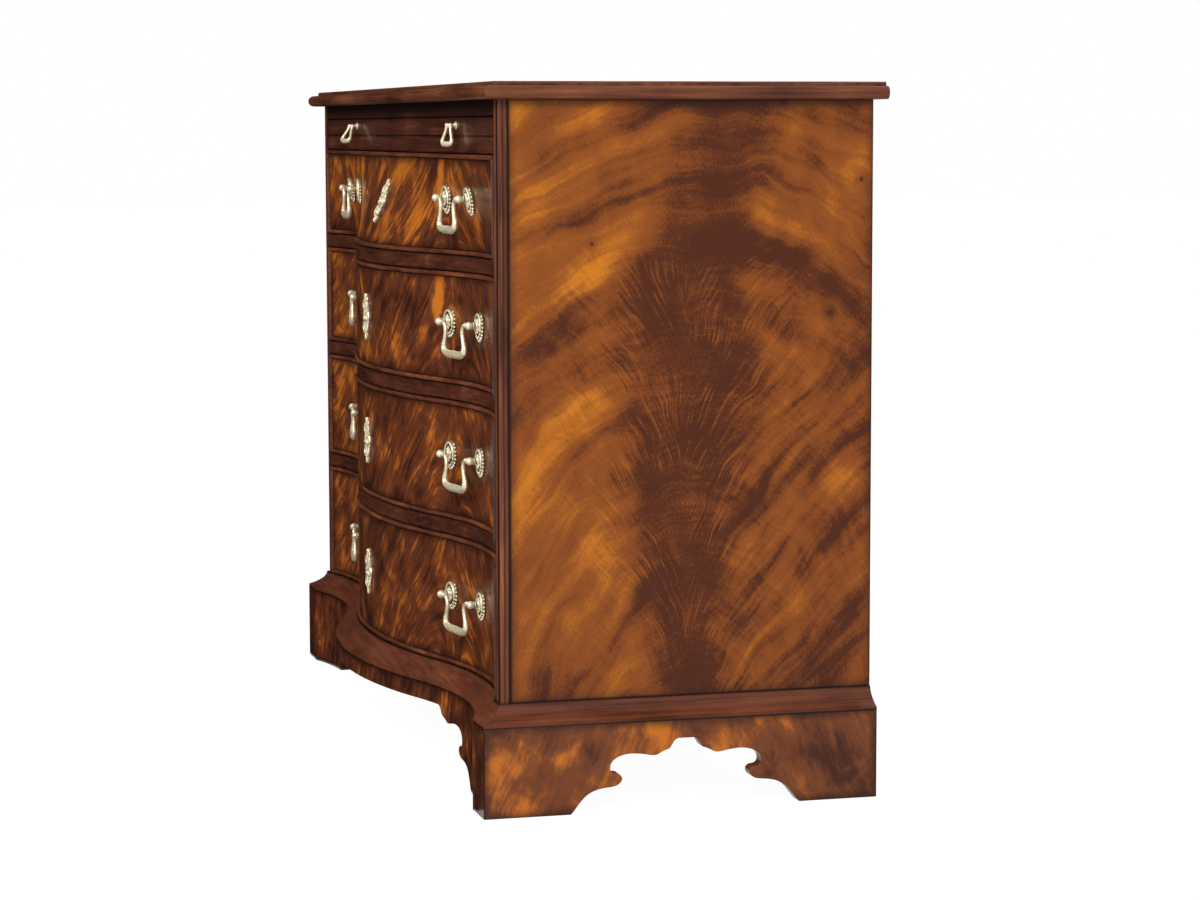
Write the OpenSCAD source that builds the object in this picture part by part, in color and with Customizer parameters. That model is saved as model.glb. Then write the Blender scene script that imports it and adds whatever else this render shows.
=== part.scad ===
// Serpentine chest of drawers with a brushing slide, four graduated drawers and bracket feet.
// The chest faces -Y. Inside the modules, Y = 0 is the plane of the corner posts' front faces,
// Z = 0 is the floor and X = 0 is the middle of the width.

/* [Carcase] */
// Width over the side panels
carcase_w = 1144; // [1000:1:1300]
// Depth from the corner posts' front faces to the back edges
carcase_d = 454; // [400:0.5:560]
// Thickness of the side panels
side_t = 22; // [18:0.5:28]
// Width of a corner post on the front
post_w = 23; // [20:0.5:32]
// Depth of a corner post on the side
post_d = 12.5; // [11:0.5:30]
// Thickness of the back boards
back_t = 10; // [6:0.5:14]
// Number of back boards
back_count = 5; // [3:1:7]
// Gap between neighbouring back boards
back_gap = 0.5; // [0.3:0.1:1]

/* [Serpentine front] */
// How far the bow stands forward of the corner posts
bow_proud = 46.1; // [20:0.1:60]
// How far the hollows lie behind the corner posts' faces
hollow_deep = 20.8; // [10:0.1:30]
// Distance of a hollow's deepest line from the chest's side
hollow_in = 151.4; // [120:0.5:200]
// Radius of a hollow on its inner side
hollow_r = 524; // [350:1:560]
// Number of flats that make up the curve
front_steps = 48; // [24:2:64]

/* [Corner bead] */
// Radius of the bead that runs down each corner
bead_r = 2.8; // [2:0.1:4.5]
// Width of the groove beside the bead on the front
quirk_front_w = 6.5; // [2:0.1:8]
// Width of the groove beside the bead on the side
quirk_side_w = 5.8; // [2:0.1:8]
// Depth of both grooves
quirk_deep = 3; // [1:0.1:5]

/* [Heights] */
// Height of the feet and aprons
foot_h = 106; // [90:1:130]
// Height of the base moulding
moulding_h = 24.3; // [18:0.1:32]
// Height of the bottom drawer's opening
open_4_h = 163; // [130:0.5:190]
// Height of the third drawer's opening
open_3_h = 149; // [120:0.5:180]
// Height of the second drawer's opening
open_2_h = 140; // [110:0.5:170]
// Height of the top drawer's opening
open_1_h = 125; // [110:0.5:160]
// Thickness of the rails between the drawers
rail_t = 19.7; // [16:0.1:25]
// Thickness of the rail under the brushing slide
slide_rail_t = 20.8; // [16:0.1:26]
// Height of the brushing slide's opening
slide_open_h = 23.3; // [20:0.1:30]
// Thickness of the rail under the top
top_rail_t = 18.9; // [14:0.1:26]
// Thickness of the top
top_t = 20.6; // [18:0.1:26]

/* [Top] */
// Overhang of the top past the corner posts' front faces
top_front_over = 20.6; // [12:0.1:30]
// Overhang of the top past each side
top_side_over = 21.6; // [12:0.1:30]
// Overhang of the top past the back
top_back_over = 13; // [0:0.5:20]
// Height of the half-round edge under the step
nose_h = 15.6; // [11:0.1:17]
// How far the step on the top is set in from the edge
step_in = 13; // [9:0.1:20]

/* [Rails and boards] */
// Depth from the corner posts' faces to the back of the rails
rail_back = 95; // [60:1:140]
// Depth of the rail under the top
top_rail_d = 70; // [40:1:120]
// Width of the drawer runners and slide bearers
runner_w = 30; // [18:1:45]
// Thickness of the dust boards
dust_t = 8; // [5:0.5:12]
// Length of a drawer stop along the rail
stop_l = 30; // [20:1:45]
// Depth of a drawer stop
stop_d = 12; // [8:0.5:20]
// Height of a drawer stop
stop_h = 3.2; // [2.5:0.1:3.5]

/* [Base] */
// How far the base stands out past each side
base_side_over = 27; // [20:0.5:36]
// How far the flat corner pads stand out past the corner posts
base_front_over = 27; // [18:0.5:34]
// How far the serpentine part of the base stands out where the front is level with the posts
base_serp_over = 30; // [16:0.5:34]
// How much more the base's curve swings than the front's, as a share of the front's
base_swell = 0.1; // [0:0.01:0.2]
// Extra width of a corner pad past its post
pad_extra = 6; // [2:0.5:12]
// Flat ledge along the top of the base moulding, as a share of its overhang
ledge_share = 0.12; // [0.05:0.01:0.2]
// Height of the square edge at the bottom of the base moulding
lip_h = 2.4; // [1.5:0.1:5]
// Thickness of the aprons
apron_t = 20; // [16:0.5:26]
// Height of the opening under the aprons' middle
arch_h = 84; // [78:0.5:92]
// Distance from a side's corner to the inner toe of its foot
side_toe = 104; // [80:1:110]
// How much shorter the rear end of a side apron's foot is
side_toe_extra = 7; // [0:0.5:15]
// Distance from the front's corner to the inner toe of its foot
front_toe = 157; // [120:1:190]
// Width of a rear foot across the back
rear_foot_w = 110; // [80:1:140]
// Depth of the glue blocks behind the aprons
block_d = 16; // [10:0.5:22]
// Height of the glue blocks along the aprons
block_h = 18; // [10:0.5:20]
// Gap between the floor and the glue blocks inside the feet
block_lift = 3; // [1:0.5:8]
// Play between a glue block and the curved apron
block_gap = 0.2; // [0.1:0.05:0.5]

/* [Drawers] */
// Thickness of the drawer fronts
front_t = 24; // [18:0.5:30]
// Thickness of the drawer sides and backs
box_t = 11; // [8:0.5:14]
// Glue gap between a drawer's back and its sides
joint_gap = 0.1; // [0.05:0.05:0.2]
// Thickness of the drawer bottoms
bottom_t = 6; // [4:0.5:9]
// Height of the drawer bottoms above the sides' lower edges
bottom_lift = 4.4; // [4:0.1:8]
// How far the drawer sides stop below their front's top edge
box_drop = 12; // [8:0.5:25]
// Gap left behind a closed drawer
drawer_rear_gap = 12; // [6:0.5:30]
// Gap at each end of a drawer in its opening
drawer_side_gap = 1; // [0.5:0.1:1.5]
// Running gap between the drawer sides and their runners
run_gap = 0.3; // [0.2:0.05:0.5]
// Gap under a drawer's front
under_gap = 0.8; // [0.5:0.1:1.2]
// Gap over a drawer's front
over_gap = 1.2; // [0.8:0.1:2]
// Width of the cock beading on the drawers' edges
cock_w = 5.5; // [4:0.1:7]
// How far the cock beading stands out of the drawer's face
cock_proud = 2.9; // [2.9:0.1:4.5]
// Depth of the rebate that holds the cock beading
cock_deep = 6; // [4:0.5:9]
// Glue gap round the cock beading
cock_seat = 0.1; // [0.05:0.05:0.2]
// Length of the thick landing at each end of a drawer front
landing_l = 16; // [14:0.5:24]

/* [Brushing slide] */
// Thickness of the slide board
slide_t = 19.5; // [16:0.1:25]
// Gap left behind the closed slide
slide_rear_gap = 25; // [10:1:80]
// Depth of the slide's front lipping
lipping_d = 22; // [14:1:40]
// Gap over the slide
slide_over_gap = 1; // [0.6:0.1:2]
// How far the rails above and below the slide lie behind the posts' faces
frieze_in = 1; // [0:0.1:2]
// Gap at each end of the slide
slide_end_gap = 1; // [0.6:0.1:2]
// Height of the pulls above the middle of the slide's opening
pull_rise = 1; // [0:0.5:4]

/* [Drawer handles] */
// Distance of a handle's middle from the chest's middle
handle_x = 340; // [260:1:400]
// Height of the handles above the middle of each drawer front
handle_rise = 8; // [0:0.5:16]
// Distance between a handle's posts across the front
handle_gap = 99; // [70:1:110]
// Distance of the bail's axis from the drawer's face
post_reach = 15.5; // [14:0.5:20]
// Radius of a post's knob
knob_r = 5; // [4:0.1:6]
// Radius of a post's neck
neck_r = 3.2; // [2.8:0.1:3.6]
// Radius of the threaded stem through the drawer front
stem_r = 2.5; // [1.8:0.1:2.6]
// Clearance round the stems in their holes
stem_clear = 0.1; // [0.1:0.05:0.5]
// Radius of the bail's pins
pin_r = 2.1; // [1.5:0.05:2.3]
// Running clearance of the pins in their bores
pin_clear = 0.05; // [0.02:0.01:0.1]
// Drop from the bail's axis to the middle of its grip
bail_drop = 37.6; // [28:0.1:50]
// Radius of the bail's arms
bail_r = 2.4; // [1.6:0.05:2.6]
// Radius of the bail's grip
grip_r = 4.7; // [2.8:0.1:5.2]
// Height of a rosette
rosette_h = 36.5; // [26:0.5:44]
// Width of a rosette
rosette_w = 28; // [20:0.5:34]
// Thickness of a rosette's plate
rosette_t = 2; // [1.2:0.1:3]
// Rise of the boss on a rosette
boss_t = 3.2; // [0.8:0.1:4]
// Height of the raised rim round a rosette
rim_t = 4.4; // [3:0.1:6]
// How far a rosette's middle lies below its post
rosette_lower = 1; // [0:0.1:3]
// Clearance of a rosette round its post's neck
rosette_clear = 0.6; // [0.5:0.05:1]
// Seating gap behind the mounts
seat_gap = 0.35; // [0.3:0.05:0.5]
// Seating gap behind the rosettes of the top drawer, whose face is twisted
twist_gap = 0.75; // [0.6:0.05:0.9]
// Play of the beading and the bottom board against the top drawer's twisted front
twist_play = 0.3; // [0.25:0.05:0.5]
// Rows of facets up the top drawer's twisted front
twist_rows = 12; // [8:1:16]
// Thickness of the nuts inside the drawers
nut_t = 3; // [2:0.5:5]
// Depth of the flat seats for the nuts
nut_sink = 1.5; // [1:0.1:4]

/* [Slide pulls] */
// Distance of the right pull's post from the chest's middle
pull_right_x = 344; // [250:1:400]
// Distance of the left pull's post from the chest's middle
pull_left_x = 310; // [250:1:400]
// Distance of a pull's axis from the slide's face
pull_reach = 9; // [8:0.1:12]
// Radius of a pull's knob
pull_knob_r = 3; // [2.6:0.1:3.4]
// Radius of a pull's back plate
pull_plate_r = 5.2; // [4:0.1:8]
// Thickness of a pull's back plate
pull_plate_t = 1.2; // [1:0.1:2]
// Radius of a pull's stem in the slide
pull_stem_r = 1.4; // [1:0.1:1.6]
// Radius of the pin of a pull's ring
pull_pin_r = 1.2; // [0.8:0.05:1.4]
// Half the width of a ring between the middles of its arms
pull_half = 11; // [10:0.1:14]
// Drop from the axis to the middle of the ring's foot
pull_drop = 22.5; // [18:0.1:25]
// Radius of the ring's arms
pull_rod_r = 1.6; // [1.2:0.05:1.7]
// Radius of the ring's foot
pull_grip_r = 2.9; // [1.8:0.1:3]
// Turn of the pins in the worn knobs, in degrees
pull_turn = 18; // [0:1:25]
// Outward lean of the right ring on its stiff pin, in degrees
pull_lean_right = 8; // [0:1:30]
// Outward lean of the left ring on its stiff pin, in degrees
pull_lean_left = 25; // [0:1:40]

// Clearance between a ring's arms and its knob
ring_clear = 0.35; // [0.3:0.05:0.6]

/* [Escutcheons and locks] */
// Height of an escutcheon
plate_h = 61.5; // [45:0.5:70]
// Width of an escutcheon
plate_w = 36; // [24:0.5:44]
// Thickness of an escutcheon
plate_t = 2.2; // [1.4:0.1:3]
// Distance of an escutcheon's middle below the middle of its drawer
plate_lower = 2; // [0:0.5:10]
// Radius of the keyhole's round part
key_r = 2.4; // [1.8:0.1:3]
// Width of a lock case
lock_w = 60; // [50:1:80]
// Thickness of a lock case
lock_t = 12; // [10:0.5:14]
// Height of a lock case below its keyhole
lock_below = 14; // [8:0.5:18]
// Width of a lock's bolt
bolt_w = 20; // [14:0.5:30]
// Thickness of a lock's bolt
bolt_t = 5; // [3:0.5:6]
// Length of a lock's bolt
bolt_l = 22; // [16:0.5:30]
// Play between a bolt and its lock case
bolt_gap = 0.3; // [0.2:0.05:0.5]
// Play of a lock's bolt in the rail's mortise
mortise_gap = 2; // [1:0.5:3]
// Height that a bolt rises
bolt_rise = 7.5; // [6:0.5:9]

/* [Hidden] */

// Facets of the turned metal parts
round_fn = 32;
// Colours
flame = "#7c3a1c";
straight = "#5a2415";
secondary = "#b08a5a";
metal = "#d9c795";

// Levels, from the floor up. Drawer 1 is the top one.
open_h = [0, open_1_h, open_2_h, open_3_h, open_4_h];
moulding_z = foot_h;
floor_z = foot_h + moulding_h;
base_4 = floor_z;
base_3 = base_4 + open_4_h + rail_t;
base_2 = base_3 + open_3_h + rail_t;
base_1 = base_2 + open_2_h + rail_t;
open_z = [0, base_1, base_2, base_3, base_4];
slide_rail_z = base_1 + open_1_h;
slide_z = slide_rail_z + slide_rail_t;
top_rail_z = slide_z + slide_open_h;
top_z = top_rail_z + top_rail_t;

// Widths and depths
half_w = carcase_w / 2;
open_half = half_w - post_w;
inner_half = half_w - side_t;
back_y = carcase_d - back_t;
rebate_w = side_t / 2;
base_half = half_w + base_side_over;
apron_in = base_half - apron_t;
pad_x = open_half - pad_extra;
runner_x = inner_half - runner_w;
drawer_half = open_half - drawer_side_gap;
box_back = back_y - drawer_rear_gap;
landing_x = drawer_half - landing_l;

// Shift that puts the middle of the whole depth on Y = 0
base_proud = base_serp_over + base_swell * bow_proud;
frame_y = (bow_proud + base_proud - carcase_d - top_back_over) / 2;

// The serpentine: a bow in the middle that runs into a hollow at each end
hollow_x = half_w - hollow_in;
wave = hollow_deep + bow_proud;
reach_r = (hollow_x * hollow_x + wave * wave) / (2 * wave);
bow_r = reach_r - hollow_r;
join_x = hollow_x * (1 - hollow_r / reach_r);
end_run = open_half - hollow_x;
end_r = (end_run * end_run + hollow_deep * hollow_deep) / (2 * hollow_deep);
function sag(r, d) = r - sqrt(r * r - d * d);
function curve_y(t) =
    t >= open_half ? 0
    : t > hollow_x ? hollow_deep - sag(end_r, t - hollow_x)
    : t > join_x ? hollow_deep - sag(hollow_r, hollow_x - t)
    : -bow_proud + sag(bow_r, t);
function front_y(x) = curve_y(abs(x));
function base_over(x) = base_serp_over - base_swell * front_y(x);
inner_stations = [for (i = [0:front_steps]) landing_x * (2 * i / front_steps - 1)];
function stations(half) = concat([-half], inner_stations, [half]);

// Drawer fronts. The top drawer's face is straight along its top edge and serpentine at its foot.
function front_z(n) = open_z[n] + under_gap;
function front_h(n) = open_h[n] - under_gap - over_gap;
function rule(n, z) = n == 1 ? 1 - (z - front_z(n)) / front_h(n) : 1;
function face_y(n, x, z) = front_y(x) * rule(n, z);
function face_slope(n, x, z) = (face_y(n, x + 1, z) - face_y(n, x - 1, z)) / 2;
function face_tilt(n, x) = n == 1 ? -atan(front_y(x) / front_h(n)) : 0;
landing_y = front_y(landing_x) + front_t;
function inner_y(n, x, z) = abs(x) > landing_x - 1 ? landing_y : face_y(n, x, z) + front_t;
function mid_z(n) = front_z(n) + front_h(n) / 2;
function top_edge(n) = front_z(n) + front_h(n);

// Handles: the posts stand square to the chord between them
function handle_z(n) = mid_z(n) + handle_rise;
function post_y(n, k) = face_y(n, handle_x + k * handle_gap / 2, handle_z(n));
function chord_angle(n) = atan2(post_y(n, 1) - post_y(n, -1), handle_gap);
function chord_half(n) = norm([handle_gap, post_y(n, 1) - post_y(n, -1)]) / 2;
function chord_mid(n) = (post_y(n, 1) + post_y(n, -1)) / 2;

// Pieces are drawn from the posts' plane and moved to the chest's own origin
module place() {
    translate([0, frame_y, 0])
    children();
}

// Puts a copy of its child on both sides
module both_sides() {
    children();
    mirror([1, 0, 0])
    children();
}

module box(x0, x1, y0, y1, z0, z1) {
    translate([x0, y0, z0])
    cube([x1 - x0, y1 - y0, z1 - z0]);
}

// Solid through a row of rings. Each ring runs counter-clockwise as seen from the last one's side.
module skin(rings) {
    m = len(rings[0]);
    n = len(rings);
    side = [
        for (i = [0:n - 2], j = [0:m - 1])
        let (a = i * m + j, b = i * m + (j + 1) % m, c = a + m, d = b + m)
        each [[a, d, b], [a, c, d]]
    ];
    first = [for (j = [1:m - 2]) [0, j, j + 1]];
    last = [for (j = [1:m - 2]) [(n - 1) * m, (n - 1) * m + j + 1, (n - 1) * m + j]];
    polyhedron(points = [for (r = rings) each r], faces = concat(side, first, last));
}

// Plan outline between two lines that share the same stations
function band(xs, front, back) = concat(
    [for (i = [0:len(xs) - 1]) [xs[i], front[i]]],
    [for (i = [len(xs) - 1:-1:0]) [xs[i], back[i]]]
);

// Extrudes an outline drawn in X and Z along Y
module along_y(y0, y1) {
    translate([0, y1, 0])
    rotate([90, 0, 0])
    linear_extrude(y1 - y0)
    children();
}

// Extrudes an outline drawn in Y and Z along X
module along_x(x0, x1) {
    translate([x0, 0, 0])
    rotate([90, 0, 90])
    linear_extrude(x1 - x0)
    children();
}

// Top

// Edge of the top from its underside up: a half-round nose under a step that is set in
function edge_points(over) = concat(
    [for (a = [-90:15:90]) [over - nose_h / 2 + nose_h / 2 * cos(a), nose_h / 2 + nose_h / 2 * sin(a)]],
    [[over - step_in, nose_h], [over - step_in, top_t - 1.5], [over - step_in - 1.5, top_t]]
);

module top_board() {
    side = [for (p = edge_points(top_side_over)) [half_w + p[0], p[1]]];
    front = [for (p = edge_points(top_front_over)) [-p[0], p[1]]];
    back_edge = carcase_d + top_back_over;
    color(straight)
    place()
    translate([0, 0, top_z])
    intersection() {
        along_y(-top_front_over - 1, back_edge)
        polygon(concat(side, [for (i = [len(side) - 1:-1:0]) [-side[i][0], side[i][1]]]));
        along_x(-half_w - top_side_over - 1, half_w + top_side_over + 1)
        polygon(concat(front, [[back_edge, top_t], [back_edge, 0]]));
    }
}

// Carcase

module side_panel() {
    difference() {
        box(inner_half, half_w, post_d, carcase_d, moulding_z, top_z);
        box(inner_half - 1, inner_half + rebate_w, back_y, carcase_d + 1, moulding_z - 1, top_z + 1);
    }
}

module side_right() {
    color(flame)
    place()
    side_panel();
}

module side_left() {
    color(flame)
    place()
    mirror([1, 0, 0])
    side_panel();
}

module back_boards() {
    half = inner_half + rebate_w;
    pitch = 2 * half / back_count;
    color(secondary)
    place()
    for (i = [0:back_count - 1])
        box(-half + i * pitch + (i > 0 ? back_gap : 0), -half + (i + 1) * pitch,
            back_y, carcase_d, moulding_z, top_z);
}

// Plan of one corner post, with a groove on each side of the round corner bead
function post_outline() = concat(
    [[open_half, 0], [half_w - 2 * bead_r - quirk_front_w, 0],
     [half_w - 2 * bead_r - quirk_front_w, quirk_deep], [half_w - 2 * bead_r, quirk_deep]],
    [for (a = [180:22.5:360]) [half_w - bead_r + bead_r * cos(a), bead_r + bead_r * sin(a)]],
    [[half_w, 2 * bead_r], [half_w - quirk_deep, 2 * bead_r],
     [half_w - quirk_deep, 2 * bead_r + quirk_side_w], [half_w, 2 * bead_r + quirk_side_w],
     [half_w, post_d], [open_half, post_d]]
);

module corner_posts() {
    color(straight)
    place()
    both_sides()
    translate([0, 0, moulding_z])
    linear_extrude(top_z - moulding_z)
    polygon(post_outline());
}

module carcase_bottom() {
    xs = concat([-open_half, -pad_x], inner_stations, [pad_x, open_half]);
    color(secondary)
    place()
    translate([0, 0, moulding_z])
    linear_extrude(moulding_h)
    polygon(concat(
        [for (x = xs) [x, front_y(x)]],
        [[open_half, post_d], [inner_half, post_d], [inner_half, back_y],
         [-inner_half, back_y], [-inner_half, post_d], [-open_half, post_d]]
    ));
}

module frieze_rails() {
    color(straight)
    place() {
        box(-open_half, open_half, frieze_in, top_rail_d, top_rail_z, top_z);
        difference() {
            box(-open_half, open_half, frieze_in, rail_back, slide_rail_z, slide_z);
            mortise(1);
        }
    }
}

module serpentine_rail() {
    xs = stations(open_half);
    linear_extrude(rail_t)
    polygon(band(xs, [for (x = xs) front_y(x)], [for (x = xs) rail_back]));
}

module drawer_rails() {
    color(straight)
    place()
    for (n = [1:3])
        difference() {
            translate([0, 0, open_z[n] - rail_t])
            serpentine_rail();
            mortise(n + 1);
        }
}

// Middle height of each dust board: under drawers 1 to 3 and under the slide
function dust_mid(k) = k == 0 ? slide_rail_z + slide_rail_t / 2 : open_z[k] - rail_t / 2;

module dust_boards() {
    color(secondary)
    place()
    for (k = [0:3])
        box(-runner_x, runner_x, rail_back, back_y, dust_mid(k) - dust_t / 2, dust_mid(k) + dust_t / 2);
}

// Runners, slide bearers and kickers at the sides, with a pair of stops for each drawer
module runners() {
    stop_y = hollow_deep + front_t + run_gap;
    color(secondary)
    place()
    both_sides() {
        for (n = [1:3])
            box(runner_x, inner_half, rail_back, back_y, open_z[n] - rail_t, open_z[n]);
        box(runner_x, inner_half, rail_back, back_y, slide_rail_z, slide_z);
        box(runner_x, inner_half, top_rail_d, back_y, top_rail_z, top_z);
        for (n = [1:4])
            box(hollow_x - stop_l / 2, hollow_x + stop_l / 2, stop_y, stop_y + stop_d,
                open_z[n], open_z[n] + stop_h);
    }
}

// Base

// Share of the overhang that the moulding has reached, from 0 at its top to 1 at its lip
function cove(u) = ledge_share + (1 - ledge_share) * u * u;

// Section of the base moulding as [share of overhang, height], starting at its inner lower corner
cove_steps = 8;
cove_h = moulding_h - lip_h;
moulding_section = concat(
    [[0, 0], [0, moulding_h]],
    [for (i = [0:cove_steps]) [cove(i / cove_steps), moulding_h - cove_h * i / cove_steps]],
    [[1, 0]]
);

// Ring of the moulding where it leaves the line at [x, y] by [ox, oy]
function moulding_ring(x, y, ox, oy) =
    [for (p = moulding_section) [x + ox * p[0], y - oy * p[0], moulding_z + p[1]]];

module base_moulding_front() {
    color(straight)
    place()
    skin(concat(
        [moulding_ring(-half_w, 0, -base_side_over, base_front_over)],
        [moulding_ring(-pad_x - 0.1, 0, 0, base_front_over)],
        [for (x = concat([-pad_x], inner_stations, [pad_x])) moulding_ring(x, front_y(x), 0, base_over(x))],
        [moulding_ring(pad_x + 0.1, 0, 0, base_front_over)],
        [moulding_ring(half_w, 0, base_side_over, base_front_over)]
    ));
}

// Side length of the base moulding, mitred at the front corner
module moulding_return() {
    skin([
        moulding_ring(half_w, 0, base_side_over, base_front_over),
        moulding_ring(half_w, carcase_d, base_side_over, 0)
    ]);
}

module base_moulding_returns() {
    color(straight)
    place()
    both_sides()
    moulding_return();
}

// Scroll of a bracket foot, as [distance past the toe, height], drawn for a foot 106 high
scroll = [
    [0, 0], [4, 4.5], [9, 11], [15, 18], [22, 23.5], [31, 27.5], [42, 29.5], [52, 30.5],
    [58, 33], [61.5, 37], [61.5, 41.5], [58, 45], [52, 46], [48.5, 48.5], [47.5, 53],
    [49, 58.5], [54, 63.5], [62, 67], [73, 68.5], [86, 67.5], [97, 65.5], [104, 65.5],
    [110, 68.5], [116, 71], [120, 72.5], [123, 77], [126, 81.5], [130, 84]
];
function scroll_up(p) = p[1] * arch_h / 84;

module front_apron() {
    serp = concat([-pad_x], inner_stations, [pad_x]);
    toe = base_half - front_toe;
    half = [for (p = scroll) [toe - p[0], scroll_up(p)]];
    color(flame)
    place()
    difference() {
        linear_extrude(foot_h)
        polygon(concat(
            [[-base_half, -base_front_over], [-pad_x - 0.1, -base_front_over]],
            [for (x = serp) [x, front_y(x) - base_over(x)]],
            [[pad_x + 0.1, -base_front_over], [base_half, -base_front_over]],
            [[apron_in, apron_t - base_front_over], [pad_x + 0.1, apron_t - base_front_over]],
            [for (i = [len(serp) - 1:-1:0]) [serp[i], front_y(serp[i]) - base_over(serp[i]) + apron_t]],
            [[-pad_x - 0.1, apron_t - base_front_over], [-apron_in, apron_t - base_front_over]]
        ));
        along_y(-bow_proud - base_proud - 10, hollow_deep + apron_t + 10)
        polygon(concat(
            [[toe, -1]], half,
            [for (i = [len(half) - 1:-1:0]) [-half[i][0], half[i][1]]], [[-toe, -1]]
        ));
    }
}

module side_aprons() {
    toe_front = side_toe - base_front_over;
    toe_back = carcase_d - side_toe + side_toe_extra;
    color(flame)
    place()
    both_sides()
    difference() {
        linear_extrude(foot_h)
        polygon([
            [base_half, -base_front_over], [base_half, carcase_d],
            [apron_in, carcase_d], [apron_in, apron_t - base_front_over]
        ]);
        along_x(apron_in - 5, base_half + 5)
        polygon(concat(
            [[toe_front, -1]],
            [for (p = scroll) [toe_front + p[0], scroll_up(p)]],
            [for (i = [len(scroll) - 1:-1:0]) [toe_back - scroll[i][0], scroll_up(scroll[i])]],
            [[toe_back, -1]]
        ));
    }
}

module rear_feet() {
    color(secondary)
    place()
    both_sides()
    along_y(carcase_d - apron_t, carcase_d)
    polygon([
        [apron_in, 0], [apron_in, foot_h], [apron_in - rear_foot_w, foot_h],
        [apron_in - rear_foot_w, foot_h * 0.82], [apron_in - rear_foot_w * 0.74, foot_h * 0.4],
        [apron_in - rear_foot_w * 0.58, 0]
    ]);
}

// Blocks inside the feet carry the carcase; short ones stiffen the aprons
module glue_blocks() {
    corner_y = apron_t - base_front_over;
    rear_y = carcase_d - apron_t;
    block_z = foot_h - block_h;
    hollow_y = hollow_deep - base_over(hollow_x) + apron_t;
    middle_y = front_y(30) - base_over(30) + apron_t;
    color(secondary)
    place() {
        both_sides() {
            box(pad_x + 1, apron_in, corner_y, corner_y + 42, block_lift, foot_h);
            box(apron_in - 40, apron_in, rear_y - 40, rear_y, block_lift, foot_h);
            box(apron_in - block_d, apron_in, corner_y + 60, rear_y - 60, block_z, foot_h);
            box(hollow_x - 30, hollow_x + 30, hollow_y + block_gap, hollow_y + block_d, block_z, foot_h);
        }
        box(-30, 30, middle_y + block_gap, middle_y + block_d, block_z, foot_h);
    }
}

// Brushing slide

slide_half = open_half - slide_end_gap;
pull_z = slide_z + slide_open_h / 2 + pull_rise;

module slide_board() {
    front_top = top_rail_z - slide_over_gap;
    color(secondary)
    place() {
        box(-slide_half, slide_half, lipping_d, back_y - slide_rear_gap,
            slide_z + run_gap, slide_z + run_gap + slide_t);
        difference() {
            box(-slide_half, slide_half, frieze_in, lipping_d, slide_z + run_gap, front_top);
            for (x = [-pull_left_x, pull_right_x])
                translate([x, lipping_d - 2, pull_z])
                rotate([90, 0, 0])
                cylinder(r = pull_stem_r + stem_clear, h = lipping_d, $fn = round_fn);
        }
    }
}

// Points of a ball's outline, as [radius, distance]
function ball_arc(r, h, a0, a1, n = 6) =
    [for (i = [0:n]) let (a = a0 + (a1 - a0) * i / n) [r * cos(a), h + r * sin(a)]];

// Turned post that stands on the plane Y = 0 and points to -Y, with a ball on its end that is
// cross-bored for a pin, turned from the X axis by some degrees
module turned_post(stem, depth, neck, foot, reach, ball, bore, turn = 0) {
    rotate([90, 0, 0])
    difference() {
        rotate_extrude($fn = round_fn)
        polygon(concat(
            [[0, -depth], [stem, -depth], [stem, foot], [neck, foot]],
            ball_arc(ball, reach, -acos(neck / ball), 90, 9)
        ));
        translate([0, 0, reach])
        rotate([0, 90 + turn, 0])
        cylinder(r = bore, h = 4 * ball, center = true, $fn = round_fn);
    }
}

// Ring or nut round a stem
module washer(r, hole, t, sides = round_fn) {
    rotate([90, 0, 0])
    difference() {
        cylinder(r = r, h = t, $fn = sides);
        translate([0, 0, -1])
        cylinder(r = hole, h = t + 2, $fn = round_fn);
    }
}

module slide_pulls() {
    color(metal)
    place()
    for (x = [-pull_left_x, pull_right_x])
        translate([x, frieze_in, pull_z]) {
            turned_post(pull_stem_r, lipping_d - 6, pull_stem_r + 0.3, seat_gap, pull_reach,
                pull_knob_r, pull_pin_r + pin_clear, pull_turn);
            translate([0, -seat_gap, 0])
            washer(pull_plate_r, pull_stem_r + rosette_clear, pull_plate_t);
        }
}

// Half outlines of a slide pull's ring and of a drawer's bail, from a pin down to the middle of
// the foot or grip, as [share of the half width, share of the drop]
ring_eye = (pull_knob_r + pull_rod_r + ring_clear) / pull_half;
ring_shape = [
    [ring_eye, 0.07], [ring_eye, -0.1], [ring_eye + 0.04, -0.26], [0.7, -0.47], [0.9, -0.67],
    [1, -0.85], [0.74, -0.985], [0.36, -1], [0, -1]
];
bail_shape = [
    [0.8, 0], [0.72, -0.005], [0.63, -0.05], [0.575, -0.15], [0.56, -0.29], [0.595, -0.46],
    [0.65, -0.64], [0.675, -0.8], [0.6, -0.94], [0.36, -1.005], [0, -1]
];

// Point at u along a smooth curve through the points p, which goes on mirrored past its end
function spline_point(p, u) =
    let (
        i = min(floor(u), len(p) - 2),
        t = u - i,
        a = p[max(i - 1, 0)],
        b = p[i],
        c = p[i + 1],
        d = i + 2 < len(p) ? p[i + 2] : [-b[0], b[1]]
    )
    0.5 * ((2 * b) + (c - a) * t + (2 * a - 5 * b + 4 * c - d) * t * t + (3 * b - a - 3 * c + d) * t * t * t);

// Whole path from one pin to the other, in X and Z
function hoop_path(shape, half, drop, per) =
    let (
        n = (len(shape) - 1) * per,
        one = [for (i = [0:n]) let (q = spline_point(shape, i / per)) [q[0] * half, q[1] * drop]]
    )
    concat(one, [for (i = [n - 1:-1:0]) [-one[i][0], one[i][1]]]);

// Radius of the rod at share v of its half length, 0 at the grip's middle
function hoop_r(v, rod, grip) = rod + (grip - rod) * max(0, 1 - pow(v / 0.36, 2));

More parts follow.
